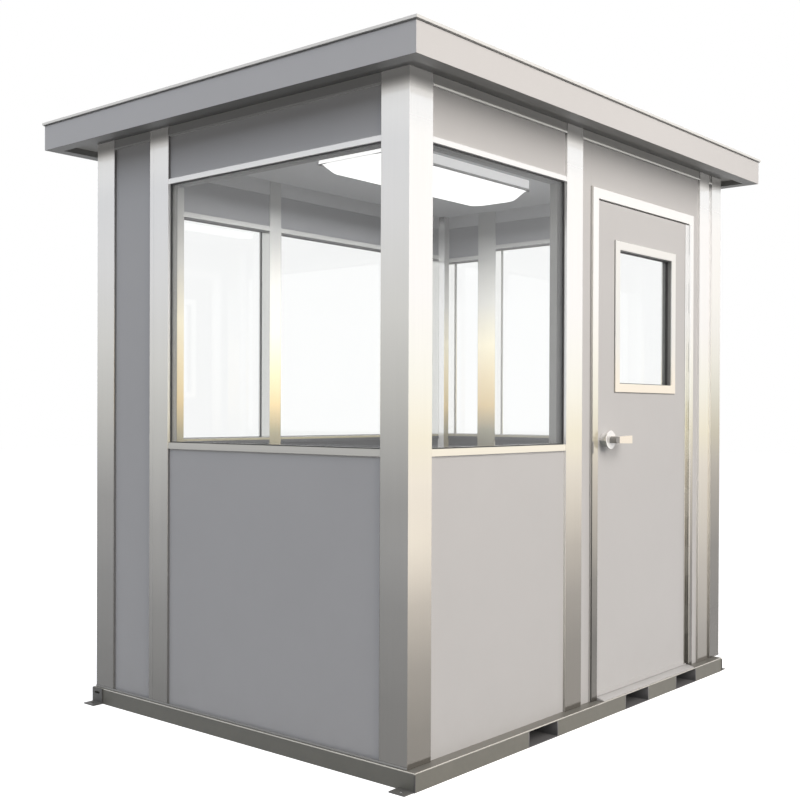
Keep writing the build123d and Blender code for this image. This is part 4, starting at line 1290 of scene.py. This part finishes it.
class GUARDBOOTH_OT_door(bpy.types.Operator):
    """Door leaf, its window with trim and seals, hinge leaves, lock and lever"""
    bl_idname = "guardbooth.door"
    bl_label = "Door"

    def execute(self, context):
        put(rounded("door_leaf", LEAF_ROUND), "door_panel", "door", "door_leaf", body="door")
        low, high = box_of("door_leaf")
        sweep = bar("door_sweep", (high.x - SWEEP_SUNK, low.y + SWEEP_END, SWEEP_LOW),
                    (high.x + SWEEP_OUT, high.y - SWEEP_END, SWEEP_HIGH), SWEEP_ROUND)
        put(sweep, "door_panel", "door", body="door")
        self.window(low, high)
        self.hinge()
        self.lock(low, high)
        return {"FINISHED"}

    def window(self, leaf_low, leaf_high):
        """On either side of the glass: trim, the gasket under it, the reveal and the seal."""
        paint_node("door_glass", "glass")
        glass_low, glass_high = box_of("door_glass")
        for number, trim in enumerate(separate_solids("door_window_trim", "door_window_trim"), 1):
            low, high = corners(trim)
            round_edges(trim, WINDOW_TRIM_ROUND)
            put(trim, "door_trim_white", "trim", "door_window_trim", body="door")
            outside = low.x > glass_high.x
            out = 1 if outside else -1
            face = leaf_high.x if outside else leaf_low.x
            pane = glass_high.x if outside else glass_low.x
            sunk = pane - out * REVEAL_SUNK
            inner_low, inner_high = low + REVEAL_INSET, high - REVEAL_INSET
            under_trim = (face - out * TRIM_GASKET_SUNK, face + out * TRIM_GASKET_OUT)
            # The gasket under the trim is partly a real gasket, partly a painted shadow line round
            # the trim.
            rings = (
                ("window_gasket", under_trim, low - GASKET_LIP, high + GASKET_LIP,
                 TRIM_GASKET_WIDTH, TRIM_GASKET_ROUND, "seal"),
                ("window_reveal", (sunk, face), inner_low, inner_high,
                 REVEAL_WIDTH, REVEAL_ROUND, "reveal"),
                ("glass_seal", (sunk, pane + out * GLASS_SEAL_OUT), inner_low, inner_high,
                 GLASS_SEAL_WIDTH, REVEAL_ROUND, "seal"))
            for kind, depths, start, end, width, rounding, finish_name in rings:
                near, far = sorted(depths)
                piece = ring(f"door_{kind}_{number}", (near, *start.yz), (far, *end.yz), "x",
                             width, rounding)
                put(piece, "door_trim_white", finish_name, body="door")

    def hinge(self):
        """The two leaves; the parts of them that lie on the frame and the door match those."""
        frame_low, frame_high = box_of("hinge_frame_leaf")
        pin = frame_low.y + KNUCKLE_RADIUS
        pin_x = frame_high.x - KNUCKLE_RADIUS
        frame_leaf = rounded("hinge_frame_leaf", HINGE_ROUND)
        put(frame_leaf, "hinge_aluminium", "hinge", "hinge_frame_leaf")
        add_slot(frame_leaf, "frame", lambda f: f.center.y > pin + FRAME_LEAF_START)
        door_leaf = rounded("hinge_door_leaf", HINGE_ROUND)
        low, high = corners(door_leaf)
        put(door_leaf, "hinge_aluminium", "hinge", "hinge_door_leaf", body="door")
        cover = bar("hinge_cover", (low.x + COVER_START, pin + COVER_SPAN[0], low.z),
                    (pin_x - COVER_END, pin + COVER_SPAN[1], high.z), HINGE_COVER_ROUND)
        put(cover, "hinge_aluminium", "hinge", body="door")
        add_slot(door_leaf, "door", lambda f: f.center.y < pin + DOOR_LEAF_START)

    def lock(self, leaf_low, leaf_high):
        """Roses inside and out, the lever with its tapered ends, and the plate on the edge."""
        outer, inner = sorted(separate_solids("lock_roses", "lock_rose"),
                              key=lambda o: -corners(o)[1].x)
        round_edges(inner, *INNER_ROSE_EDGES)
        put(inner, "lock_satin", "rose", "lock_roses", body="door")
        low, high = corners(outer)
        bpy.data.objects.remove(outer)
        _, y, z = (low + high) / 2
        radius = (high.z - low.z) / 2
        shank = add_rod("lock_rose_out", (low.x, y, z), (high.x - SHANK_END, y, z),
                        radius * SHANK_SHARE, ROUND_SIDES)
        disc = add_rod("lock_rose_disc", (high.x - DISC_THICKNESS, y, z), (high.x, y, z),
                       radius, ROUND_SIDES)
        round_edges(shank, *SHANK_EDGES)
        round_edges(disc, *DISC_EDGES)
        rose = join("lock_rose_out", [shank, disc])
        put(rose, "lock_satin", "rose", "lock_roses", body="door")
        # The lower half of the rose's shank is painted dark: painted shade and painted reflection
        # of the ground.
        shade_top, disc_face = z - ROSE_SHADE_BELOW, high.x - DISC_FACE
        add_slot(rose, "rose_shade",
                 lambda f: f.center.z < shade_top and f.center.x < disc_face)

        lever = merged_copy("door_lever", "door_lever_rounded")
        low, high = corners(lever)
        edit(lever)
        cut_across("y", y + NECK_END)
        cut_across("y", y + TAPER_END)
        self.taper(lever, y - HAIR, y + NECK_END + HAIR, NECK_SHARE, z)
        self.taper(lever, y + TAPER_END - HAIR, y + TAPER_END + HAIR, TAPER_SHARE, z)
        close()
        round_edges(lever, *LEVER_EDGES)
        put(lever, "lock_satin", "lever", "door_lever", body="lever")
        inside, outside = low.x + PADDLE_THICKNESS + HAIR, high.x - PADDLE_THICKNESS - HAIR
        # The neck and the middle of the lever are painted dark: painted shade.
        add_slot(lever, "neck", lambda f: (f.center.y < y + NECK_END - HAIR
                                           or inside < f.center.x < outside))

        plate = bar(
            "lock_edge_plate",
            (leaf_low.x + PLATE_MARGIN, leaf_low.y - PLATE_OUT, z - PLATE_HALF_HEIGHT),
            (leaf_high.x - PLATE_MARGIN, leaf_low.y + PLATE_SUNK, z + PLATE_HALF_HEIGHT),
            PLATE_ROUND)
        put(plate, "lock_satin", "screw", body="door")

    def taper(self, lever, low_y, high_y, share, middle_z):
        """Narrow the paddles where they lie between two places along Y."""
        choose(lever, "verts", lambda v: (low_y < v.co.y < high_y
                                          and abs(v.co.z - middle_z) > PADDLE_NARROW))
        bpy.ops.transform.resize(value=(1, 1, share), center_override=(0, 0, middle_z))


# ---------------------------------------------------------------- stage
CAMERA_PLACE = (3.2566, -3.9918, 1.2407)
CAMERA_YAW = 40.388
CAMERA_PITCH = -0.2907
CAMERA_ROLL = 0.207
CAMERA_LENS = 50.787
CAMERA_SENSOR = 36.0
CAMERA_SHIFT = 0.0226
AMBIENT = (0.220, 0.226, 0.250)
FLOOR_SIZE = 60.0
FLOOR_PLACE = (0, 0, -0.0005)
FLOOR_PALE = (0.9, 0.9, 0.9)
FLOOR_PLAIN = (0.16, 0.157, 0.153)
FLOOR_GLOW = 0.8
WHITE = (1.0, 1.0, 1.0)
# Name, place, target, sides, power and colour of each lamp.
LAMPS = (
    ("Key", (7.5, -0.5, 5.5), (0.5, 0, 1.3), (7, 7), 740, (1.0, 0.937, 0.875)),
    ("Fill", (-1.0, -7.5, 7.4), (0, 0, 1.2), (6, 6), 285, (0.86, 0.91, 1.0)),
    ("Top", (0, 0, 8.0), (0, 0, 0), (8, 8), 60, WHITE),
    ("Room, down", (0, 0, 2.24), (0, 0, 0), (1.2, 1.8), 25, WHITE),
    ("Room, up", (0, 0, 0.9), (0, 0, 2), (1.2, 1.8), 10, WHITE))


def camera_matrix():
    """The camera looks almost level, turned to the left of +Y, with a trace of roll."""
    yaw, pitch, roll = (math.radians(a) for a in (CAMERA_YAW, CAMERA_PITCH, CAMERA_ROLL))
    ahead = Vector((-math.sin(yaw) * math.cos(pitch), math.cos(yaw) * math.cos(pitch),
                    math.sin(pitch)))
    right = Vector((math.cos(yaw), math.sin(yaw), 0))
    up = right.cross(ahead)
    tilted_right = right * math.cos(roll) + up * math.sin(roll)
    tilted_up = up * math.cos(roll) - right * math.sin(roll)
    matrix = Matrix((tilted_right, tilted_up, -ahead)).transposed().to_4x4()
    matrix.translation = Vector(CAMERA_PLACE)
    return matrix


def show_in_background(tree, plain, bright):
    """Bright for rays that show the background (seen, mirrored or through glass), else plain."""
    path = add_node(tree, "LightPath").outputs
    seen = calc(tree, "MAXIMUM", path["Is Camera Ray"], path["Is Glossy Ray"])
    seen = calc(tree, "MAXIMUM", seen, path["Is Transmission Ray"])
    return mix_shaders(tree, seen, plain, bright)


def empty_tree(owner):
    """The emptied shader nodes of a world or a material."""
    owner.use_nodes = True
    owner.node_tree.nodes.clear()
    return owner.node_tree


def soft_lamp(name, place, target, size, power, colour):
    """A rectangular lamp that lights the booth and is never seen itself."""
    lamp = bpy.data.lights.new(name, "AREA")
    lamp.shape = "RECTANGLE"
    lamp.size, lamp.size_y = size
    lamp.energy = power
    lamp.color = colour
    holder = bpy.data.objects.new(name, lamp)
    holder.location = place
    aim = Vector(target) - Vector(place)
    holder.rotation_euler = aim.to_track_quat("-Z", "Y").to_euler()
    holder.visible_camera = False
    holder.visible_glossy = False
    holder.visible_transmission = False
    bpy.context.scene.collection.objects.link(holder)


class GUARDBOOTH_OT_stage(bpy.types.Operator):
    """Pale floor, white background, soft lamps and the camera"""
    bl_idname = "guardbooth.stage"
    bl_label = "Stage"

    def execute(self, context):
        scene = context.scene
        scene.view_settings.view_transform = "Standard"

        camera = bpy.data.cameras.new("Camera")
        camera.lens = CAMERA_LENS
        camera.sensor_width = CAMERA_SENSOR
        camera.shift_y = CAMERA_SHIFT
        holder = bpy.data.objects.new("Camera", camera)
        holder.matrix_world = camera_matrix()
        scene.collection.objects.link(holder)
        scene.camera = holder

        scene.world = bpy.data.worlds.new("Studio")
        tree = empty_tree(scene.world)
        ambient = add_node(tree, "Background", [("Color", rgba(AMBIENT)), ("Strength", 1.0)])
        white = add_node(tree, "Background", [("Color", rgba(WHITE)), ("Strength", 1.0)])
        add_node(tree, "OutputWorld", [("Surface", show_in_background(tree, ambient, white))])

        bpy.ops.object.select_all(action="DESELECT")
        bpy.ops.mesh.primitive_plane_add(size=FLOOR_SIZE, location=FLOOR_PLACE)
        floor = settle(bpy.context.object, "stage_floor")
        material = bpy.data.materials.new("Stage floor")
        tree = empty_tree(material)
        pale = add_node(tree, "BsdfDiffuse", [("Color", rgba(FLOOR_PALE))])
        lift = add_node(tree, "Emission", [("Color", rgba(WHITE)), ("Strength", FLOOR_GLOW)])
        lit = add_node(tree, "AddShader", [(0, pale.outputs[0]), (1, lift.outputs[0])])
        plain = add_node(tree, "BsdfDiffuse", [("Color", rgba(FLOOR_PLAIN))])
        add_node(tree, "OutputMaterial", [("Surface", show_in_background(tree, plain, lit))])
        floor.data.materials.append(material)

        for lamp in LAMPS:
            soft_lamp(*lamp)
        return {"FINISHED"}


# ---------------------------------------------------------------- panel and registration
OPERATORS = (
    GUARDBOOTH_OT_base, GUARDBOOTH_OT_posts, GUARDBOOTH_OT_panels, GUARDBOOTH_OT_window_bars,
    GUARDBOOTH_OT_glazing, GUARDBOOTH_OT_roof, GUARDBOOTH_OT_light, GUARDBOOTH_OT_door_frame,
    GUARDBOOTH_OT_door, GUARDBOOTH_OT_stage,
)


class GUARDBOOTH_PT_sidebar(bpy.types.Panel):
    """Lists the pieces of the booth and what can be changed"""
    bl_idname = "GUARDBOOTH_PT_sidebar"
    bl_label = "Guard Booth"
    bl_space_type = "VIEW_3D"
    bl_region_type = "UI"
    bl_category = "Guard Booth"

    def draw(self, context):
        layout = self.layout
        for settings in (context.scene.guard_booth_finish, context.scene.guard_booth_sizes):
            box = layout.box()
            for key in settings.__annotations__:
                box.prop(settings, key)
        for operator in OPERATORS:
            layout.operator(operator.bl_idname)


CLASSES = (GuardBoothFinish, GuardBoothSizes) + OPERATORS + (GUARDBOOTH_PT_sidebar,)


def register():
    for cls in CLASSES:
        bpy.utils.register_class(cls)
    bpy.types.Scene.guard_booth_finish = bpy.props.PointerProperty(type=GuardBoothFinish)
    bpy.types.Scene.guard_booth_sizes = bpy.props.PointerProperty(type=GuardBoothSizes)


def unregister():
    del bpy.types.Scene.guard_booth_sizes
    del bpy.types.Scene.guard_booth_finish
    for cls in reversed(CLASSES):
        bpy.utils.unregister_class(cls)


def main():
    register()
    make_materials()
    bpy.ops.guardbooth.base()
    bpy.ops.guardbooth.posts()
    bpy.ops.guardbooth.panels()
    bpy.ops.guardbooth.window_bars()
    bpy.ops.guardbooth.glazing()
    bpy.ops.guardbooth.roof()
    bpy.ops.guardbooth.ceiling_light()
    bpy.ops.guardbooth.door_frame()
    bpy.ops.guardbooth.door()
    bpy.ops.guardbooth.stage()


if __name__ == "__main__":
    main()
